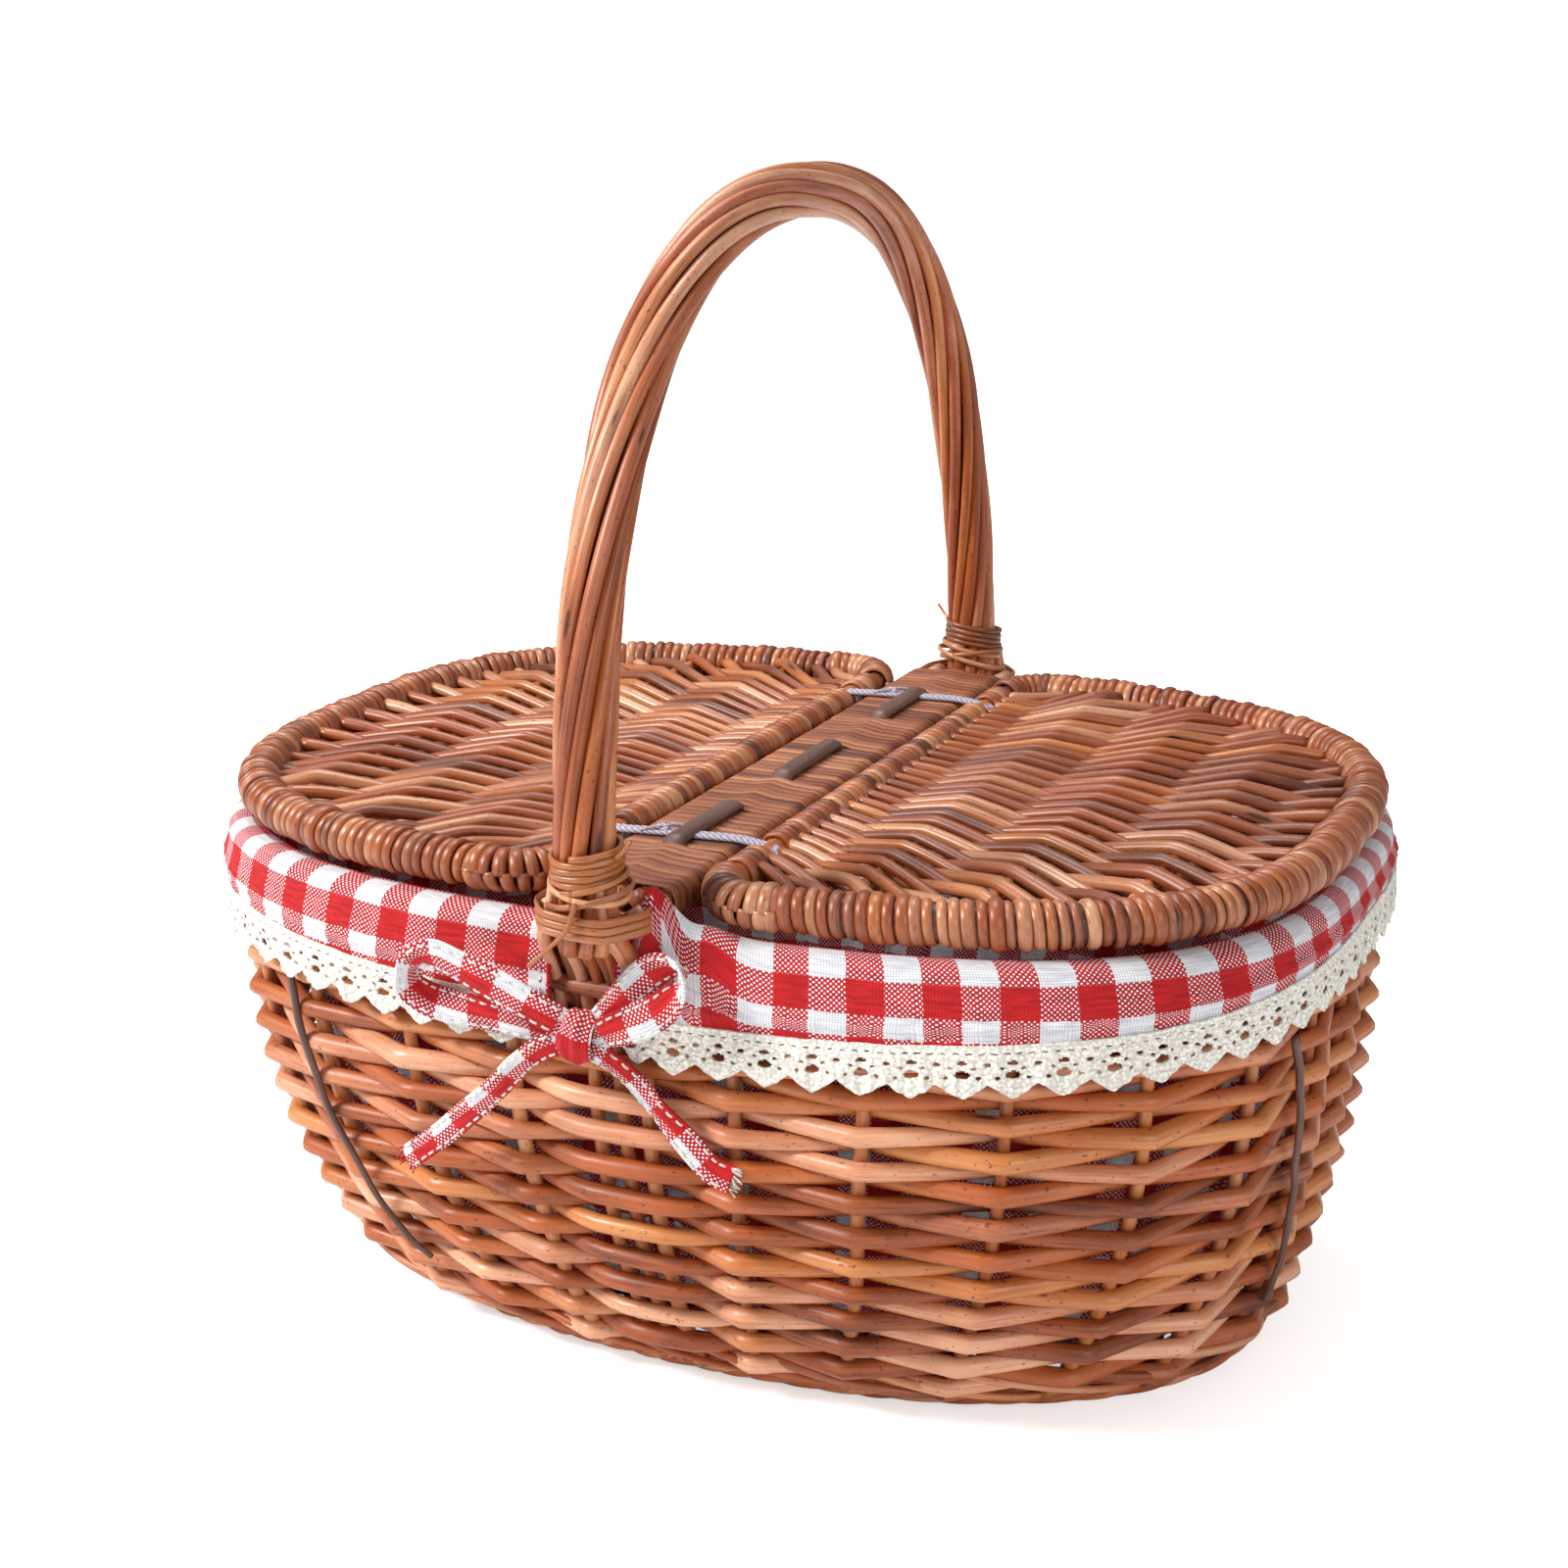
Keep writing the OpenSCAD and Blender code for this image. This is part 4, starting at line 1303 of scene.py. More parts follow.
    def twine(self, name: str) -> None:
        """Twine lashed over the bar and round both hinge rods, with its knot.

        Args:
            name: Which end of the bar, front or back.
        """
        side = -1 if name == "front" else 1
        rng = draws(self.seed + 2 + side)
        sheaf = Sheaf(f"twine_lashing_{name}")
        rod_lo, rod_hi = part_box("right_lid_hinge_rod")
        rod_x, rod_z = (rod_lo[0] + rod_hi[0]) / 2, (rod_lo[2] + rod_hi[2]) / 2
        rod_r = (rod_hi[0] - rod_lo[0]) / 2 + 0.95 * MM
        top = self.z + self.half_h + 0.9 * MM
        y0 = side * self.lash_y
        angle = np.radians(np.linspace(140, -230, 40))
        for shift in (-1.8, 0.0, 1.8):
            loops = [spots(end * (rod_x + rod_r * np.cos(angle)), shift * MM * 0.9,
                           rod_z + rod_r * np.sin(angle)) for end in (-1, 1)]
            across = np.linspace(-1, 1, 24)
            x = across * (self.half_w + 1 * MM)
            z = np.where(np.abs(across) > 0.93, top - 0.9 * MM, top)
            line = spots(x, shift * MM + 2.6 * MM * across, z)
            path = smooth(np.vstack([loops[0][::-1][:30], line, loops[1][10:]]), 3)
            path[:, 1] += y0
            sheaf.add(path, self.twine_r, rng.random(), up=ALONG_Y)
        for k in range(3):
            angle = np.linspace(0, 2 * math.pi, 30)
            r = (2.3 - 0.4 * k) * MM
            knot = spots(-9.0 * MM + r * np.cos(angle) * 0.8,
                         y0 + (k - 1) * 0.9 * MM + r * np.sin(angle) * 0.5,
                         top + 0.6 * MM + r * 0.55 * np.sin(angle + k))
            sheaf.add(knot, self.twine_r, rng.random())
        for lead in (((-9, 0, 1.2), (-12, -3, 1.6), (-15, -4, 0.6)),
                     ((-9, 0, 1.2), (-7, 3, 1.8), (-3, 5, 0.8))):
            tail = curve_through(lead, 1 * MM, 4) + (0, y0, top)
            sheaf.add(tail, np.linspace(0.8, 0.6, len(tail)) * MM, rng.random(), sides=6)
        self.maker.on_basket(sheaf, "twine", Slot.TWINE, f"hinge_cord_{name}")

    def end_wraps(self, name: str) -> None:
        """Cane that ties the bar's outer sticks to the handle leg.

        Args:
            name: Which end of the bar, front or back.
        """
        side = -1 if name == "front" else 1
        rng = draws(self.seed + 20 + side)
        sheaf = Sheaf(f"bar_end_cane_{name}")
        lo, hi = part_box(f"bar_lashing_{name}")
        x = hi[0] - 1.0 * MM
        near, far = (hi[1], lo[1]) if side < 0 else (lo[1], hi[1])
        for k in range(3):
            z = self.z + (k - 1) * 2.6 * MM
            half, late = lerp(near, far, 0.45), lerp(near, far, 0.95)
            points = [(-x, near, z), (-x, half, z), (-x * 0.55, late, z + 0.6 * MM), (0, far, z),
                      (x * 0.55, late, z - 0.6 * MM), (x, half, z), (x, near, z)]
            path = curve_through(np.array(points) / MM, 1.5 * MM, 5)
            centre = np.array([0, lerp(near, far, 0.4), self.z])
            up = unit((path - centre) * (1, 1, 0))
            sheaf.add(path, 1.35 * MM, rng.random(), flat=0.55, up=up)
        self.maker.on_basket(sheaf, "cane", Slot.CANE, f"bar_lashing_{name}")


# ---- lids


@dataclass
class WovenLid:
    """A D-shaped lid: hoop, hinge rod and ribs, with rods woven from the hinge rod out to the hoop."""

    maker: Maker
    side: Side
    rows: int = 60
    seed: int = 71
    wave_h: float = 4.0 * MM
    turn_gap: float = 3.9 * MM
    corner_turns: int = 9
    corner_bend: float = 18 * MM
    margin: float = 32 * MM
    rod_thin: float = 2.0 * MM
    rod_thick: float = 2.75 * MM
    squareness: float = 2.9

    def __post_init__(self) -> None:
        """Reads the right lid's sizes from the frame; the left one is its mirror image."""
        rod_lo, rod_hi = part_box("right_lid_hinge_rod")
        hoop_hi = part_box("right_lid_hoop")[1]
        ribs_lo, ribs_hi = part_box("right_lid_ribs")
        self.hinge_x, self.z = (rod_lo[0] + rod_hi[0]) / 2, (rod_lo[2] + rod_hi[2]) / 2
        self.rod_r = (rod_hi[0] - rod_lo[0]) / 2
        self.corner_y = rod_hi[1] + 1 * MM
        self.hoop_r = hoop_hi[2] - self.z
        self.hoop_a = hoop_hi[0] - self.hoop_r + 2.0 * MM
        self.hoop_b = hoop_hi[1] - self.hoop_r + 0.6 * MM
        self.rib_r = (ribs_hi[2] - ribs_lo[2]) / 2
        self.rib_xs = np.linspace(ribs_lo[0] + self.rib_r, ribs_hi[0] - self.rib_r, 3)
        self.prefix = self.side.name.lower()
        self.body = f"{self.prefix}_lid"
        self.seed += 0 if self.side is Side.RIGHT else 100
        self.hoop_path = self.outline()
        self.hoop_along = lengths(self.hoop_path)

    def outline(self) -> Array:
        """Centre of the hoop, from the front end of the hinge rod round to the back end.

        Returns:
            Points in metres.
        """
        bend = self.corner_bend
        cx = self.hinge_x + bend
        cy = self.corner_y
        angles = np.radians(np.linspace(180, 265, 30))
        start = spots(cx + bend * np.cos(angles), -cy + bend * np.sin(angles), 0.0)
        x = self.hoop_a - (self.hoop_a - cx - 2 * MM) * (1 - np.linspace(0, 1, 400)) ** 1.7
        y = self.hoop_b * (1 - np.clip(x / self.hoop_a, 0, 1) ** self.squareness) ** (1 / self.squareness)
        run = spots(x, -y, 0.0)
        half = np.vstack([start, run])
        whole = np.vstack([half, half[::-1][1:] * (1, -1, 1)])
        return smooth(resample(whole, 1.5 * MM), 12) + (0, 0, self.z)

    def on_hoop(self, s: Array) -> Tuple[Array, Array]:
        """Place and direction on the hoop at distance s from its front end.

        Args:
            s: Distance in metres, one or many.

        Returns:
            The places and the directions.
        """
        s = np.asarray(s, float)
        before, here, after = (at_length(self.hoop_path, self.hoop_along, s + step * MM)
                               for step in (-1, 0, 1))
        return here, unit(after - before)

    def placed(self, path: Array) -> Array:
        """Mirrors what is drawn for the right lid when this is the left one."""
        return path if self.side is Side.RIGHT else path * (-1, 1, 1)

    def tube_r(self, s: Array) -> Array:
        """Radius of the hoop's outside at distance s along it."""
        end = np.minimum(s, self.hoop_along[-1] - s)
        return lerp(6.0 * MM, self.hoop_r, ramp(end, 20 * MM, 50 * MM))

    def add_piece(self, sheaf: Sheaf, finish: str, slot: Slot, node: str) -> None:
        """Makes one piece of the lid in place of its CAD node."""
        self.maker.finish_piece(sheaf.build(), finish, slot, self.body, [f"{self.body}_{node}"])

    def build(self) -> None:
        """Makes every piece of the lid."""
        rng = draws(self.seed)
        core = Sheaf(f"{self.prefix}_hoop_rod")
        # painted shade: the hoop's core is finished near black to stand for the shade in the gaps between the
        # turns over it
        core.add(self.placed(self.hoop_path), self.tube_r(self.hoop_along) - 1.7 * MM, 0.4, sides=12)
        self.add_piece(core, "dark", Slot.WILLOW_DARK, "hoop")
        rod = Sheaf(f"{self.prefix}_straight_rod")
        y = np.linspace(-self.corner_y + 1 * MM, self.corner_y - 1 * MM, 60)
        rod.add(self.placed(spots(self.hinge_x, y, self.z)), self.rod_r, 0.45, sides=12)
        self.add_piece(rod, "stake", Slot.WILLOW, "hinge_rod")
        ribs = Sheaf(f"{self.prefix}_rib_rods")
        for x in self.rib_xs:
            reach = self.hoop_b * (1 - (x / self.hoop_a) ** self.squareness) ** (1 / self.squareness) - 6 * MM
            y = np.linspace(-reach, reach, 50)
            ribs.add(self.placed(spots(x, y, self.z)), self.rib_r, rng.random(), sides=10)
        self.add_piece(ribs, "stake", Slot.WILLOW_DARK, "ribs")
        self.weave(rng)
        self.corners(rng)

    def weave(self, rng: np.random.Generator) -> None:
        """The rows, the turns round the hinge rod and the turns over the hoop.

        Args:
            rng: Source of the random draws.
        """
        sheaf = Sheaf(f"{self.prefix}_lid_rods")
        total = self.hoop_along[-1]
        edge = self.corner_y - 9 * MM
        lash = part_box("hinge_cord_back")[1][1] - 2.5 * MM
        pitch = self.rib_xs[1] - self.rib_xs[0]
        step = (total - 2 * self.margin) / (self.rows - 1)
        for row in range(self.rows):
            f = row / (self.rows - 1)
            y0 = lerp(-edge, edge, f) + 0.35 * MM * rng.uniform(-1, 1)
            s = self.margin + row * step
            end, direction = self.on_hoop(s)
            inward = unit(np.cross(direction, UP) * (-1, -1, 0))
            tube = float(self.tube_r(s))
            target = end + inward * (tube - 2.0 * MM)
            start = np.array([self.hinge_x + self.rod_r, y0, self.z])
            if target[0] > start[0] + 8 * MM:
                reach = target - start
                bend = start + reach * (0.52, 0.24, 0)
                t = np.linspace(0, 1, max(int(np.linalg.norm(reach) / (2.6 * MM)), 8))[:, None]
                path = (1 - t) ** 2 * start + 2 * t * (1 - t) * bend + t ** 2 * target
                phase = math.pi * ((path[:, 0] - self.rib_xs[0]) / pitch + 1)
                c = np.cos(phase)
                kink = 0.2 * c - 0.8 * (1 - 2 * np.abs((phase / math.pi) % 2 - 1))
                sign = 1 if row % 2 else -1
                fade = lerp(0.75, 1.0, ramp(t[:, 0], 0.0, 0.12)) * lerp(1.0, 0.7, ramp(t[:, 0], 0.9, 1.0))
                path[:, 2] = self.z + sign * kink * self.wave_h * fade * rng.uniform(0.88, 1.1)
                path[:, 1] += 0.5 * MM * Wander(rng, 0.12)(path[:, 0]) * np.sin(math.pi * t[:, 0])
                growth = lerp(self.rod_thin, self.rod_thick, t[:, 0] ** 0.8)
                radius = growth * (1 + 0.06 * Wander(rng, 0.05)(path[:, 0])) * rng.uniform(0.84, 1.08)
                sheaf.add(self.placed(path), radius, rng.random(), flat=0.86, sides=9)
            if min(abs(y0 - lash), abs(y0 + lash)) > 5.5 * MM:
                self.turn_round_rod(sheaf, y0, rng)
            for half in (-0.25, 0.25):
                self.turn_over_hoop(sheaf, s + (half + rng.uniform(-0.05, 0.05)) * step, step / 2, rng)
        self.add_piece(sheaf, "lid", Slot.WILLOW, "weave")

    def turn_round_rod(self, sheaf: Sheaf, y: float, rng: np.random.Generator) -> None:
        """One turn of a weaver round the hinge rod.

        Args:
            sheaf: Where the turn is added.
            y: Place along the rod, in metres.
            rng: Source of the random draws.
        """
        angle = np.radians(np.linspace(-70, 285, 26))
        r = self.rod_r + 0.9 * MM
        drift = np.linspace(-1.2, 1.2, 26) * MM
        path = spots(self.hinge_x + r * np.cos(angle), y + drift, self.z + r * np.sin(angle))
        up = self.placed(spots(np.cos(angle), 0.0, np.sin(angle)))
        sheaf.add(self.placed(path), 2.0 * MM * rng.uniform(0.88, 1.08), rng.random(), flat=0.5, up=up)

    def turn_over_hoop(self, sheaf: Sheaf, s: float, step: float, rng: np.random.Generator) -> None:
        """One flattened turn of a weaver over the hoop.

        Args:
            sheaf: Where the turn is added.
            s: Distance along the hoop, in metres.
            step: Room for the turn, in metres.
            rng: Source of the random draws.
        """
        n = 30
        angle = np.radians(np.linspace(-60, 330, n) + rng.uniform(-15, 15))
        drift = np.linspace(-0.5, 0.5, n) * step * rng.uniform(0.8, 1.3)
        p, d = self.on_hoop(s + drift)
        out = unit(np.cross(d, UP))
        r = self.tube_r(s + drift) - 1.45 * MM + 0.5 * MM * rng.uniform(-1, 1)
        way = -out * np.cos(angle)[:, None] + UP * np.sin(angle)[:, None]
        path = p + way * r[:, None]
        wide = step * 0.50 * rng.uniform(0.74, 1.22)
        sheaf.add(self.placed(path), wide, rng.uniform(0.1, 0.8), flat=0.62, up=self.placed(way), sides=10)

    def corners(self, rng: np.random.Generator) -> None:
        """Fine cane turned closely round both corners.

        Args:
            rng: Source of the random draws.
        """
        sheaf = Sheaf(f"{self.prefix}_corner_cane")
        for end in (0, 1):
            for k in range(self.corner_turns):
                s = 1 * MM + k * self.turn_gap
                s = s if end == 0 else self.hoop_along[-1] - s
                n = 26
                angle = np.linspace(0, 2 * math.pi * 1.02, n)
                p, d = self.on_hoop(s + np.linspace(-1.3, 1.3, n) * MM)
                out = unit(np.cross(d, UP))
                way = out * np.cos(angle)[:, None] + UP * np.sin(angle)[:, None]
                wide = 2.3 * MM * rng.uniform(0.92, 1.05)
                sheaf.add(self.placed(p + way * self.tube_r(s)), wide, rng.random(), flat=0.55,
                          up=self.placed(way))
        self.add_piece(sheaf, "lid", Slot.CANE, "corner_bindings")


# ---- liner, lace and bows


@dataclass(frozen=True)
class LaceMotif:
    """One repeat of the crochet edging: its scallop and its holes, in millimetres."""

    repeat: float = 15.3
    short: float = 12.5
    point: float = 5.0
    holes: Tuple[Tuple[float, float, float, float], ...] = (
        (0.0, 9.6, 2.4, 1.35), (0.0, 5.6, 1.7, 0.85), (-3.4, 7.4, 0.8, 0.62), (3.4, 7.4, 0.8, 0.62),
        (-7.65, 6.2, 1.15, 0.6), (7.65, 6.2, 1.15, 0.6), (-4.9, 10.6, 0.8, 0.6), (4.9, 10.6, 0.8, 0.6))
    dash: Tuple[float, float, float, float] = (3.825, 2.6, 0.98, 0.32)

    def depth(self, u: Array) -> Array:
        """Depth of the lace in metres at u metres along it."""
        x = np.abs(((u / MM) % self.repeat) / self.repeat * 2 - 1)
        return (self.short + self.point * (1 - x ** 1.3)) * MM

    def solid(self, u: Array, v: Array) -> Array:
        """Whether the lace has thread at u along and v down, both in metres.

        Args:
            u: Distance along, in metres.
            v: Distance down, in metres.

        Returns:
            True where there is thread.
        """
        x = ((u / MM) % self.repeat) - self.repeat / 2
        y = v / MM
        open_here = np.zeros(x.shape, bool)
        for cx, cy, rx, ry in self.holes:
            open_here |= ((x - cx) / rx) ** 2 + ((y - cy) / ry) ** 2 < 1
        step, cy, rx, ry = self.dash
        open_here |= (((x % step) - step / 2) / rx) ** 2 + ((y - cy) / ry) ** 2 < 1
        return ~open_here


@dataclass(frozen=True)
class Strap:
    """One strap of a bow: its path and widths in millimetres, and its turns in degrees."""

    part: str
    points: Tuple[Tuple[float, float, float], ...]
    width: Tuple[float, ...]
    turn: Tuple[float, ...]


BOW_STRAPS = (
    Strap("loop_left",
          ((-8, -166, 147), (-15, -169, 151), (-27, -171, 157), (-41, -171.5, 162.5), (-53, -171, 166.5),
           (-62, -169.5, 164.5), (-68, -167, 157.5), (-69, -164, 150.5), (-62, -162.5, 146.5),
           (-50, -162.5, 145.5), (-36, -163, 145), (-20, -164, 143.5), (-9, -165, 143)),
          (9, 11.5, 12, 11.5, 9, 11, 11.5, 10, 8), (10, 0, -5, -15, -75, -20, 5, 10, 10)),
    Strap("loop_right",
          ((-1, -166, 145), (10, -169, 150.5), (19, -170.5, 155), (27, -171, 160.5), (34, -170.5, 168),
           (33.5, -169, 174), (27, -167.5, 174.5), (20, -166.5, 170), (13, -165.5, 163), (7, -165, 157),
           (-1, -165, 148)),
          (8, 11, 12, 11, 9, 11, 11, 9, 7), (10, 0, -5, -20, -75, -20, 5, 10, 10)),
    Strap("tail_left",
          ((-9, -166, 143), (-18, -168, 139.5), (-27, -167.5, 132.5), (-36, -165, 122.5), (-47, -161.5, 112),
           (-62, -158.5, 98), (-77, -156.5, 86)),
          (8, 8.5, 8.5, 8.5, 8.5), (0, -35, -20, 10, 15)),
    Strap("tail_right",
          ((-2, -166, 141), (5, -163.5, 136.5), (11, -160.5, 130), (18, -159, 121), (27, -157.5, 111),
           (35, -156.5, 102), (42, -156, 100)),
          (8, 9, 9, 9, 9), (0, 20, 15, -10, -15)),
)


@dataclass
class Ribbon:
    """A sewn gingham strap along a path, with running stitches by both edges."""

    maker: Maker
    name: str
    points: Sequence[Tuple[float, float, float]]
    width: Sequence[float]
    turn: Sequence[float]
    turned: bool = False
    cup: float = 0.9 * MM
    stitch: float = 2.4 * MM
    stitch_gap: float = 4.2 * MM

    def grid(self) -> Tuple[Array, Array, Array]:
        """Points of the strap, its measure along and its measure across.

        Returns:
            The points, the measure along and the measure across.
        """
        path = half_turn(curve_through(self.points, 1.5 * MM, 4), self.turned)
        along = lengths(path)
        f = along / along[-1]
        knots = np.linspace(0, 1, len(self.width))
        half = np.interp(f, knots, self.width) * MM / 2
        roll = np.radians(np.interp(f, np.linspace(0, 1, len(self.turn)), self.turn))[:, None]
        d = unit(np.gradient(path, axis=0))
        face = np.array([0, 1.0 if self.turned else -1.0, 0])
        side = unit(np.cross(face, d))
        out = unit(np.cross(d, side))
        wide = np.cos(roll) * side + np.sin(roll) * out
        normal = unit(np.cross(d, wide))
        v = np.linspace(-1, 1, 9)
        twist = 0.3 * MM * np.sin(along * 260)[None, :, None] * v[:, None, None]
        curl = self.cup * (1 - v ** 2)[:, None, None] + twist
        grid = path[None] + v[:, None, None] * half[None, :, None] * wide[None] + curl * normal[None]
        return grid, along, v * np.mean(half)

    def build(self, rests_on: Sequence[str]) -> bpy.types.Object:
        """Makes the strap and its stitches.

        Args:
            rests_on: What the strap lies on; not used.

        Returns:
            The strap.
        """
        grid, along, across = self.grid()
        obj = Cloth(self.name, grid, along, across + 5.8 * MM).build(1.0 * MM, double=True)
        self.maker.finish_piece(obj, "gingham", Slot.GINGHAM, "basket")
        self.stitches(grid, along)
        return obj

    def stitches(self, grid: Array, along: Array) -> None:
        """White running stitches 1.4 mm inside each edge, on both faces.

        Args:
            grid: The strap's points.
            along: The strap's measure along.
        """
        sheaf = Sheaf(f"{self.name}_stitches")
        normal = unit(np.cross(grid[4, 1:] - grid[4, :-1], grid[5, :-1] - grid[4, :-1]))
        normal = np.vstack([normal, normal[-1]])
        starts = np.arange(2 * MM, along[-1] - 3 * MM, self.stitch_gap)
        for row in (1, 7):
            line = grid[row]
            for s in starts:
                at = np.linspace(s, s + self.stitch, 5)
                p, n = at_length(line, along, at), at_length(normal, along, at)
                bow = np.sin(np.linspace(0, math.pi, 5))[:, None]
                for face in (-1, 1):
                    sheaf.add(p + face * n * (0.45 + 0.35 * bow) * MM, STITCH_R, 0.5, sides=6)
        self.maker.on_basket(sheaf, "thread", Slot.LACE)


@dataclass
class Liner:
    """The gingham bag, the two skirts over the rim, the lace below them and the two bows."""

    maker: Maker
    tuck: float = 9 * MM
    thick: float = 0.7 * MM
    lace_seam: float = 2.2 * MM
    hem_front: float = 149 * MM
    hem_ends: float = 161 * MM
    slit_near: float = 5 * MM
    slit_far: float = 19 * MM
    lace_cell: float = 0.55 * MM
    lace_rows: int = 31
    bag_gap: float = 2.1 * MM
    bag_in: float = 4.5 * MM
    bag_fold: float = 2.2 * MM
    motif: LaceMotif = LaceMotif()
    seed: int = 211

    def build(self) -> None:
        """Makes every piece of the liner."""
        self.bag()
        for side in Side:
            turned = side is Side.LEFT
            self.skirt(side.name.lower(), turned)
            self.lace(side.name.lower(), turned)
        for name, turned in (("front", False), ("back", True)):
            self.bow(name, turned)

    # ---- shared drape

    def hem(self, t: Array) -> Array:
        """Height of the skirt's hem towards angle t."""
        return lerp(self.hem_front, self.hem_ends, np.abs(np.cos(t)) ** 2.2)

    def span(self) -> Array:
        """Angles of the right skirt's columns, from its front edge to its back edge.

        Returns:
            Angles in radians, a millimetre of rim apart.
        """
        t = np.linspace(-math.pi / 2, math.pi / 2, 4001)
        p = self.maker.shape.at(t, self.maker.shape.wall_top, 0.0)
        half = len(t) // 2
        first = np.interp(self.slit_near, p[:half, 0], t[:half])
        last = np.interp(-self.slit_far, -p[half:, 0], t[half:])
        t = np.linspace(first, last, 4001)
        run = lengths(self.maker.shape.at(t, self.maker.shape.wall_top, 0.0))
        return np.interp(np.arange(0, run[-1], 1.0 * MM), run, t)

    def stand_off(self, t: Array) -> Array:
        """How far the cloth stands outside the wall towards angle t, least at the basket's ends."""
        return 2.3 * MM - 1.2 * MM * np.cos(t) ** 4

    def hang(self, t: Array, z: Array, waves: Ripple) -> Array:
        """Point of the cloth outside the wall towards angle t at height z."""
        return self.maker.shape.at(t, z, self.stand_off(t) + waves(t, z))

    def waves(self, turned: bool) -> Ripple:
        """Slow ripples of the hanging cloth, as a function of angle and height.

        Args:
            turned: Whether it is the left skirt.

        Returns:
            A function of angle and height that gives metres outwards.
        """
        rng = draws(self.seed + int(turned))
        long, short, lean = Wander(rng, 0.9), Wander(rng, 0.30), rng.uniform(-3, 3)

        def ripple(t: Array, z: Array) -> Array:
            """How far the cloth stands out."""
            drop = np.clip((self.maker.shape.border_z - z) / (25 * MM), 0, 1.5)
            return (0.55 * long(t * 3 + lean * z) + 0.4 * short(t * 3 - 2 * z)) * MM * drop
        return ripple

    # ---- pieces

    def skirt(self, name: str, turned: bool) -> None:
        """One skirt, from inside the rim, over it and down to the hem.

        Args:
            name: Which side, right or left.
            turned: Whether it is the one on the far side, turned half round.
        """
        shape, t = self.maker.shape, self.span()
        rng = draws(self.seed + 5 + int(turned))
        waves = self.waves(turned)
        r = shape.border_r + 1.15 * MM
        arc = np.radians(np.linspace(180, 20, 15))
        rows = []
        for z in np.linspace(shape.border_z - self.tuck, shape.border_z - 1 * MM, 6):
            rows.append(shape.middle(t, z, -r))
        for a in arc:
            rows.append(shape.middle(t, shape.border_z + r * math.sin(a), r * math.cos(a)))
        top = shape.border_z - 1 * MM
        hem = self.hem(t) + 0.5 * MM * Wander(rng, 0.3)(t * 3)
        puff = Wander(rng, 0.16)(t * 3)
        for f in np.linspace(0, 1, 26):
            z = lerp(top, hem, f)
            from_hem = z - hem
            fold = 0.95 * MM * np.exp(-((from_hem - 7 * MM) / (1.7 * MM)) ** 2) * (1 + 0.5 * puff)
            lip = 0.35 * MM * np.exp(-((from_hem - 1.0 * MM) / (1.2 * MM)) ** 2)
            outer = self.hang(t, z, waves)
            start = shape.middle(t, z, r)
            rows.append(lerp(start, outer, ramp(f, -0.05, 0.35)) + shape.out(t, z) * (fold + lip)[:, None])
        grid = np.stack(rows)
        if not turned:
            self.flap(grid, t)
        down = np.vstack([0 * t, np.cumsum(np.linalg.norm(np.diff(grid, axis=0), axis=2), axis=0)])
        shear = 0.9 * MM * Wander(rng, 0.25)(t * 3)[None, :] * ramp(down, 20 * MM, 55 * MM)
        tucked = 3.0 * MM * ramp(down - down[-1], -8.5 * MM, -6 * MM)
        run = lengths(shape.at(t, shape.border_z, 0.0))
        cloth = Cloth(f"gingham_skirt_{name}", half_turn(grid, turned), run[None, :] + shear,
                      1.1 * (down + tucked) - 4.6 * MM + 0.5 * shear)
        obj = cloth.build(self.thick)
        self.maker.finish_piece(obj, "gingham", Slot.GINGHAM, "basket", [f"liner_skirt_{name}"])
        self.edging(name, half_turn(grid, turned))

    def flap(self, grid: Array, t: Array) -> None:
        """Pulls the skirt's corner by the handle foot up and outwards.

        Args:
            grid: The skirt's points, changed in place.
            t: Angle of each column.
        """
        d = (np.arange(grid.shape[1]) * 1.0)[None, :]
        row = np.arange(grid.shape[0])[:, None]
        high = ramp(row, 9, 16) * (1 - ramp(row, 20, 40))
        crest = np.exp(-((d - 13) / 7.5) ** 2) + 0.25 * np.exp(-((d - 30) / 9.0) ** 2)
        pull = high * crest
        out = self.maker.shape.out(t, self.hem_front)[None]
        grid += pull[..., None] * (out * 6.0 * MM + UP * 17.0 * MM)
        low = ramp(row, 16, 26)
        grid += (low * np.exp(-(d / 6.0) ** 2))[..., None] * out * 2.0 * MM

    def edging(self, name: str, grid: Array) -> None:
        """Red piping on one slit edge, white stitches beside the other.

        Args:
            name: Which side, right or left.
            grid: The skirt's points.
        """
        piping = Sheaf(f"red_piping_{name}")
        for col in (0, -1):
            line = grid[6:, col]
            piping.add(line, 0.85 * MM, 0.5)
        self.maker.on_basket(piping, "red_thread", Slot.GINGHAM)
        stitches = Sheaf(f"slit_stitches_{name}")
        for col, gap in ((3, 1), (-4, -1)):
            line = grid[:, col]
            out = unit(np.cross(line[2:] - line[:-2], grid[1:-1, col + gap] - grid[1:-1, col]))
            out *= np.sign((out * line[1:-1] * (1, 1, 0)).sum(axis=1, keepdims=True))
            out = np.vstack([out[0], out, out[-1]])
            for row in range(14, len(line) - 4, 4):
                bow = np.array([0.35, 0.75, 0.35])[:, None] * MM
                stitches.add(line[row:row + 3] + out[row:row + 3] * bow, STITCH_R, 0.5, sides=6)
        self.maker.on_basket(stitches, "thread", Slot.LACE)

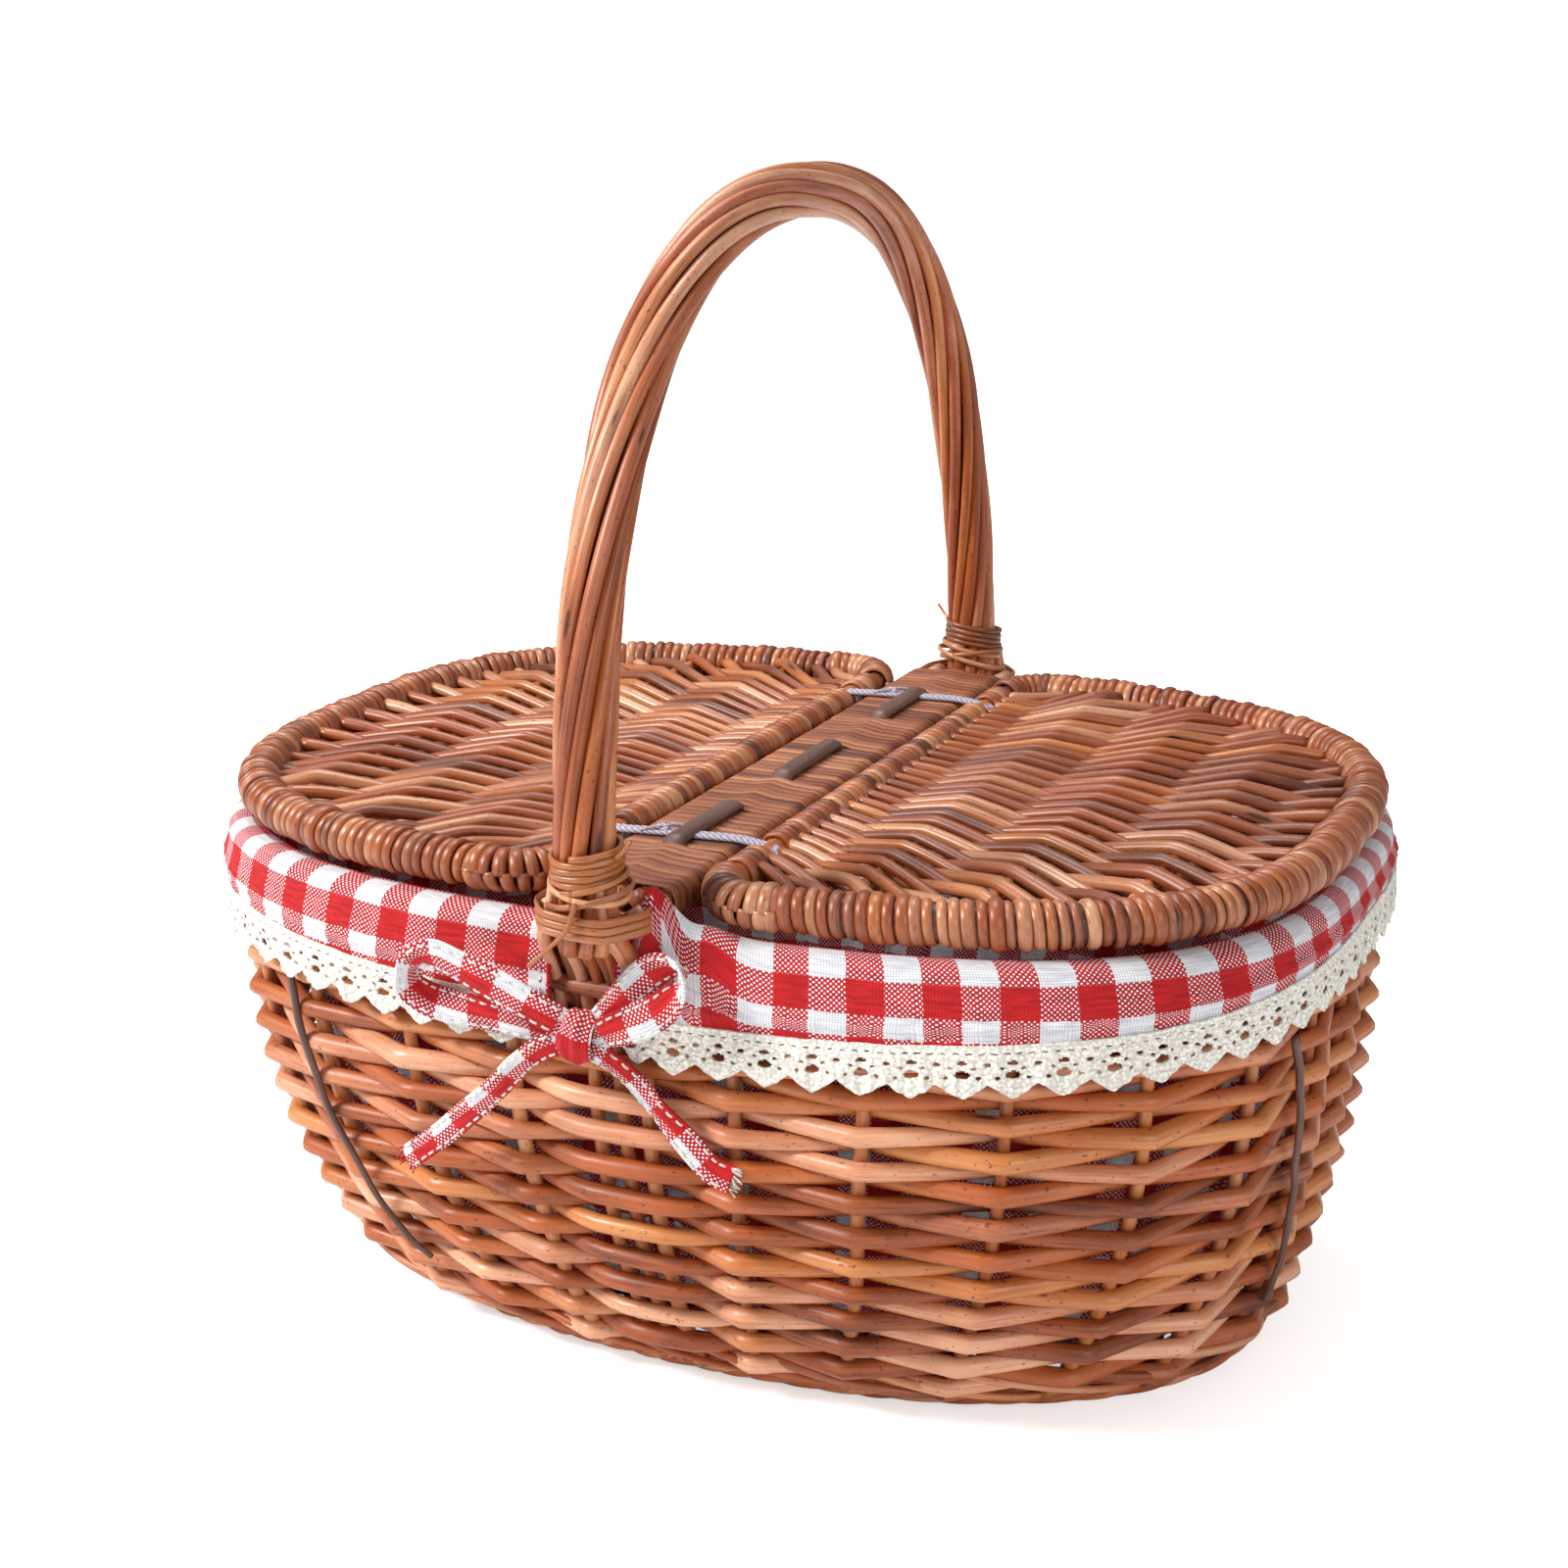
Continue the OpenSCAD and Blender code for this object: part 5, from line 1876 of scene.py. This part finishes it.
    def lace(self, name: str, turned: bool) -> None:
        """One crochet edging, hanging from a skirt's hem.

        Args:
            name: Which side, right or left.
            turned: Whether it is the one on the far side, turned half round.
        """
        shape, t0 = self.maker.shape, self.span()
        waves = self.waves(turned)
        rng = draws(self.seed + 9 + int(turned))
        run0 = lengths(shape.at(t0, self.hem_front, 2.3 * MM))
        u = np.arange(1 * MM, run0[-1] - 1 * MM, self.lace_cell)
        t = np.interp(u, run0, t0)
        edge = np.minimum(u, run0[-1] - u)
        depth = self.motif.depth(u + 4 * MM) * lerp(0.62, 1.0, ramp(edge, 0.0, 7 * MM))
        rows = self.lace_rows
        f = np.linspace(0, 1, rows)[:, None]
        v = f * depth[None, :]
        sway, flare = Wander(rng, 0.20)(t * 3), Wander(rng, 0.07)(t * 3)
        z = self.hem(t)[None, :] + self.lace_seam - v * (1 - 0.03 * (1 + sway))[None, :]
        extra = (0.75 + 0.55 * f * (sway + 1.2)[None, :] + 0.5 * f ** 2 * flare[None, :]) * MM
        tt = np.broadcast_to(t, z.shape)
        off = self.stand_off(tt) + extra + waves(tt, np.broadcast_to(self.hem(t)[None, :], z.shape))
        grid = shape.at(tt, z, off)
        ribbing = 0.13 * MM * np.cos(v / (2.1 * MM) * 2 * math.pi)
        grid = grid + shape.out(tt, z) * ribbing[..., None]
        mid = ((u[:-1] + u[1:]) / 2 + 4 * MM)[None, :]
        keep = self.motif.solid(np.broadcast_to(mid, (rows - 1, len(u) - 1)), (v[:-1, :-1] + v[1:, 1:]) / 2)
        cloth = Cloth(f"crochet_lace_{name}", half_turn(grid, turned), u, v, keep)
        obj = cloth.build(0.75 * MM)
        self.maker.finish_piece(obj, "lace", Slot.LACE, "basket", [f"lace_{name}"])

    def bag(self) -> None:
        """The gingham bag inside the basket: its wall with soft folds, and its floor."""
        shape = self.maker.shape
        rng = draws(self.seed + 20)
        t = np.linspace(0, 2 * math.pi, 421)
        floor_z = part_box("liner_bag")[0][2] + 1.2 * MM
        folds = [Wander(rng, 0.9), Wander(rng, 0.35), Wander(rng, 0.18)]
        ease = np.minimum(ramp(t, 0, 0.4), 1 - ramp(t, 2 * math.pi - 0.4, 2 * math.pi))
        rows = []
        heights = np.linspace(shape.wall_top + 3 * MM, floor_z, 46)
        for z in heights:
            f = (heights[0] - z) / (heights[0] - floor_z)
            fold = (1.7 + folds[0](t * 4 + 0.9 * f) + 0.8 * folds[1](t * 4 - 0.5 * f)
                    + 0.45 * folds[2](t * 4 + f))
            inward = (self.bag_gap + self.bag_in * ramp(f, 0.02, 0.2)
                      + self.bag_fold * ramp(f, 0.05, 0.6) * np.clip(fold, 0, 4) * ease)
            corner = 9 * MM * ramp(f, 0.9, 1.0) ** 2
            rows.append(shape.at(t, z, -shape.wall_t - inward - corner))
        grid = np.stack(rows)
        run = lengths(shape.at(t, shape.wall_top, -shape.wall_t))
        down = np.concatenate([[0], np.cumsum(np.linalg.norm(np.diff(grid, axis=0), axis=2).mean(axis=1))])
        wall = Cloth("gingham_bag_wall", grid, run, down, ring=True).build(self.thick)
        self.maker.finish_piece(wall, "gingham", Slot.GINGHAM, "basket", ["liner_bag"])
        rim = grid[-1]
        lift = Wander(rng, 0.12)
        rows = []
        for f in np.linspace(1, 0.002, 40):
            p = rim * (f, f, 1)
            p[:, 2] += (0.5 + 0.5 * lift(p[:, 0] + 3 * p[:, 1])) * 1.6 * MM * (1 - f ** 6)
            rows.append(p)
        grid = np.stack(rows)
        floor = Cloth("gingham_bag_floor", grid, grid[..., 0], grid[..., 1], ring=True).build(self.thick)
        self.maker.finish_piece(floor, "gingham", Slot.GINGHAM, "basket")

    def bow(self, name: str, turned: bool) -> None:
        """One bow: two loops, a knot and two tails.

        Args:
            name: Which foot, front or back.
            turned: Whether it is the one on the far side, turned half round.
        """
        on = [f"foot_fan_{name}"]
        for strap in BOW_STRAPS:
            label = f"bow_{name}_{strap.part}"
            Ribbon(self.maker, label, strap.points, strap.width, strap.turn, turned).build(on)
            if strap.part.startswith("tail"):
                self.fray(label, strap.points, turned)
        angle = np.linspace(-0.6 * math.pi, 1.4 * math.pi, 41)
        v = np.linspace(-1, 1, 13)[:, None]
        creases = 1 + 0.06 * np.sin(3.2 * angle + 4 * v) + 0.05 * np.sin(9 * v)
        swell = np.sqrt(np.clip(1 - 0.55 * v ** 2, 0, 1)) * creases
        grid = MM * spots(-5.0 + 5.6 * v * (1 - 0.12 * np.sin(angle)) + 1.2 * np.sin(angle),
                          -167.0 - 5.4 * swell * np.cos(angle), 145.0 + 8.6 * swell * np.sin(angle) - 1.0 * v)
        grid = half_turn(grid, turned)
        along, across = lengths(grid[6]), v[:, 0] * 5.6 * MM
        obj = Cloth(f"bow_{name}_knot", grid, along + 2 * MM, across + 11.5 * MM).build(1.0 * MM, double=True)
        self.maker.finish_piece(obj, "gingham", Slot.GINGHAM, "basket", [f"tie_bow_{name}"])

    def fray(self, name: str, points: Sequence[Tuple[float, float, float]], turned: bool) -> None:
        """Loose threads at a tail's end.

        Args:
            name: The tail's name.
            points: The tail's path in millimetres.
            turned: Whether it is the one on the far side, turned half round.
        """
        rng = draws(self.seed + len(name))
        end, before = np.array(points[-1]) * MM, np.array(points[-2]) * MM
        d = unit(end - before)
        side = unit(np.cross((0, -1.0, 0), d))
        sheaf = Sheaf(f"{name}_fray")
        for k in range(16):
            start = end + side * (k - 7.5) * 0.5 * MM - d * 1.0 * MM
            reach = rng.uniform(2.5, 5.0) * MM
            way = unit(d + 0.35 * rng.normal(size=3))
            line = start + np.linspace(0, 1, 6)[:, None] * reach * way
            line[:, 2] -= np.linspace(0, 1, 6) ** 2 * rng.uniform(0, 1.2) * MM
            sheaf.add(half_turn(line, turned), 0.28 * MM, rng.random(), sides=5)
        finish = "red_thread" if "left" in name else "thread"
        self.maker.on_basket(sheaf, finish, Slot.GINGHAM)


# ---- studio


@dataclass(frozen=True)
class SoftLight:
    """One area light, aimed at a point."""

    name: str
    place: Tuple[float, float, float]
    size: float
    power: float
    colour: Tuple[float, float, float] = (1.0, 1.0, 1.0)
    aim: Tuple[float, float, float] = (0.0, 0.0, 0.12)

    def build(self) -> None:
        """Adds the light to the scene."""
        data = bpy.data.lights.new(self.name, "AREA")
        data.energy, data.size, data.color = self.power, self.size, self.colour
        obj = bpy.data.objects.new(self.name, data)
        way = Vector(self.aim) - Vector(self.place)
        obj.location = self.place
        obj.rotation_euler = way.to_track_quat("-Z", "Y").to_euler()
        bpy.context.scene.collection.objects.link(obj)


@dataclass(frozen=True)
class Studio:
    """White surroundings, a pale floor, soft lights and the camera."""

    azimuth: float = 23.84
    elevation: float = 18.17
    target: Tuple[float, float, float] = (0.0, 0.0, 0.150)
    distance: float = 0.950
    lens: float = 59.49
    shift: Tuple[float, float] = (-0.0169, 0.0548)
    sensor: float = 36.0
    floor_half: float = 6.0
    floor_drop: float = 0.4 * MM
    world_light: float = 0.28
    world_seen: float = 1.3

    def build(self) -> None:
        """Adds the surroundings, the lights and the camera."""
        self.surroundings()
        for light in (SoftLight("key_light", (-1.5, -1.2, 1.6), 0.6, 62, (1.0, 0.985, 0.97)),
                      SoftLight("fill_light", (1.7, -1.2, 0.9), 0.9, 13, (1.0, 0.99, 0.98)),
                      SoftLight("top_light", (-0.5, 0.5, 2.0), 0.9, 20)):
            light.build()
        self.camera()

    def surroundings(self) -> None:
        """White world and floor."""
        scene = bpy.context.scene
        world = bpy.data.worlds.new("white_studio")
        world.use_nodes = True
        w = Wiring(world.node_tree)
        backdrop = world.node_tree.nodes["Background"]
        backdrop.inputs["Color"].default_value = (1.0, 1.0, 1.0, 1.0)
        seen = w.node("ShaderNodeLightPath").outputs["Is Camera Ray"]
        w.feed(backdrop.inputs["Strength"], w.scale(seen, 0.0, 1.0, self.world_light, self.world_seen))
        scene.world = world
        half, under = self.floor_half, -self.floor_drop
        corners = np.array([(-half, -half, under), (half, -half, under), (half, half, under),
                            (-half, half, under)])
        floor = mesh_object("pale_floor", corners, np.arange(4), np.array([0]), {}, {}, soft=False)
        material = bpy.data.materials.new("pale_floor")
        material.use_nodes = True
        w = Wiring(material.node_tree)
        shader = material.node_tree.nodes["Principled BSDF"]
        shader.inputs["Base Color"].default_value = (0.93, 0.93, 0.93, 1.0)
        shader.inputs["Roughness"].default_value = 0.9
        shader.inputs["Specular IOR Level"].default_value = 0.1
        shader.inputs["Emission Color"].default_value = (1.0, 1.0, 1.0, 1.0)
        where = w.node("ShaderNodeTexCoord").outputs["Object"]
        away = w.node("ShaderNodeVectorMath", {0: where}, operation="LENGTH")
        near = w.scale(away.outputs["Value"], 0.12, 0.34, 0.55, 1.0)
        seen = w.node("ShaderNodeLightPath").outputs["Is Camera Ray"]
        w.feed(shader.inputs["Emission Strength"], w.times(near, seen))
        floor.data.materials.append(material)
        scene.view_settings.view_transform = "Standard"

    def camera(self) -> None:
        """The camera at the front right, a little above the rim."""
        data = bpy.data.cameras.new("main_camera")
        data.lens, data.sensor_width = self.lens, self.sensor
        data.shift_x, data.shift_y = self.shift
        obj = bpy.data.objects.new("main_camera", data)
        az, el = math.radians(self.azimuth), math.radians(self.elevation)
        back = Vector((math.sin(az) * math.cos(el), -math.cos(az) * math.cos(el), math.sin(el)))
        obj.location = Vector(self.target) + back * self.distance
        obj.rotation_euler = (-back).to_track_quat("-Z", "Y").to_euler()
        bpy.context.scene.collection.objects.link(obj)
        bpy.context.scene.camera = obj


def main() -> None:
    """Builds the basket and its studio."""
    logging.basicConfig(level=logging.INFO, format="%(message)s")
    maker = Maker(BodyShape.from_frame(), Wardrobe())
    WovenBody(maker).build()
    ArchedHandle(maker).build()
    CentreBar(maker).build()
    for side in Side:
        WovenLid(maker, side).build()
    Liner(maker).build()
    Studio().build()


if __name__ == "__main__":
    main()
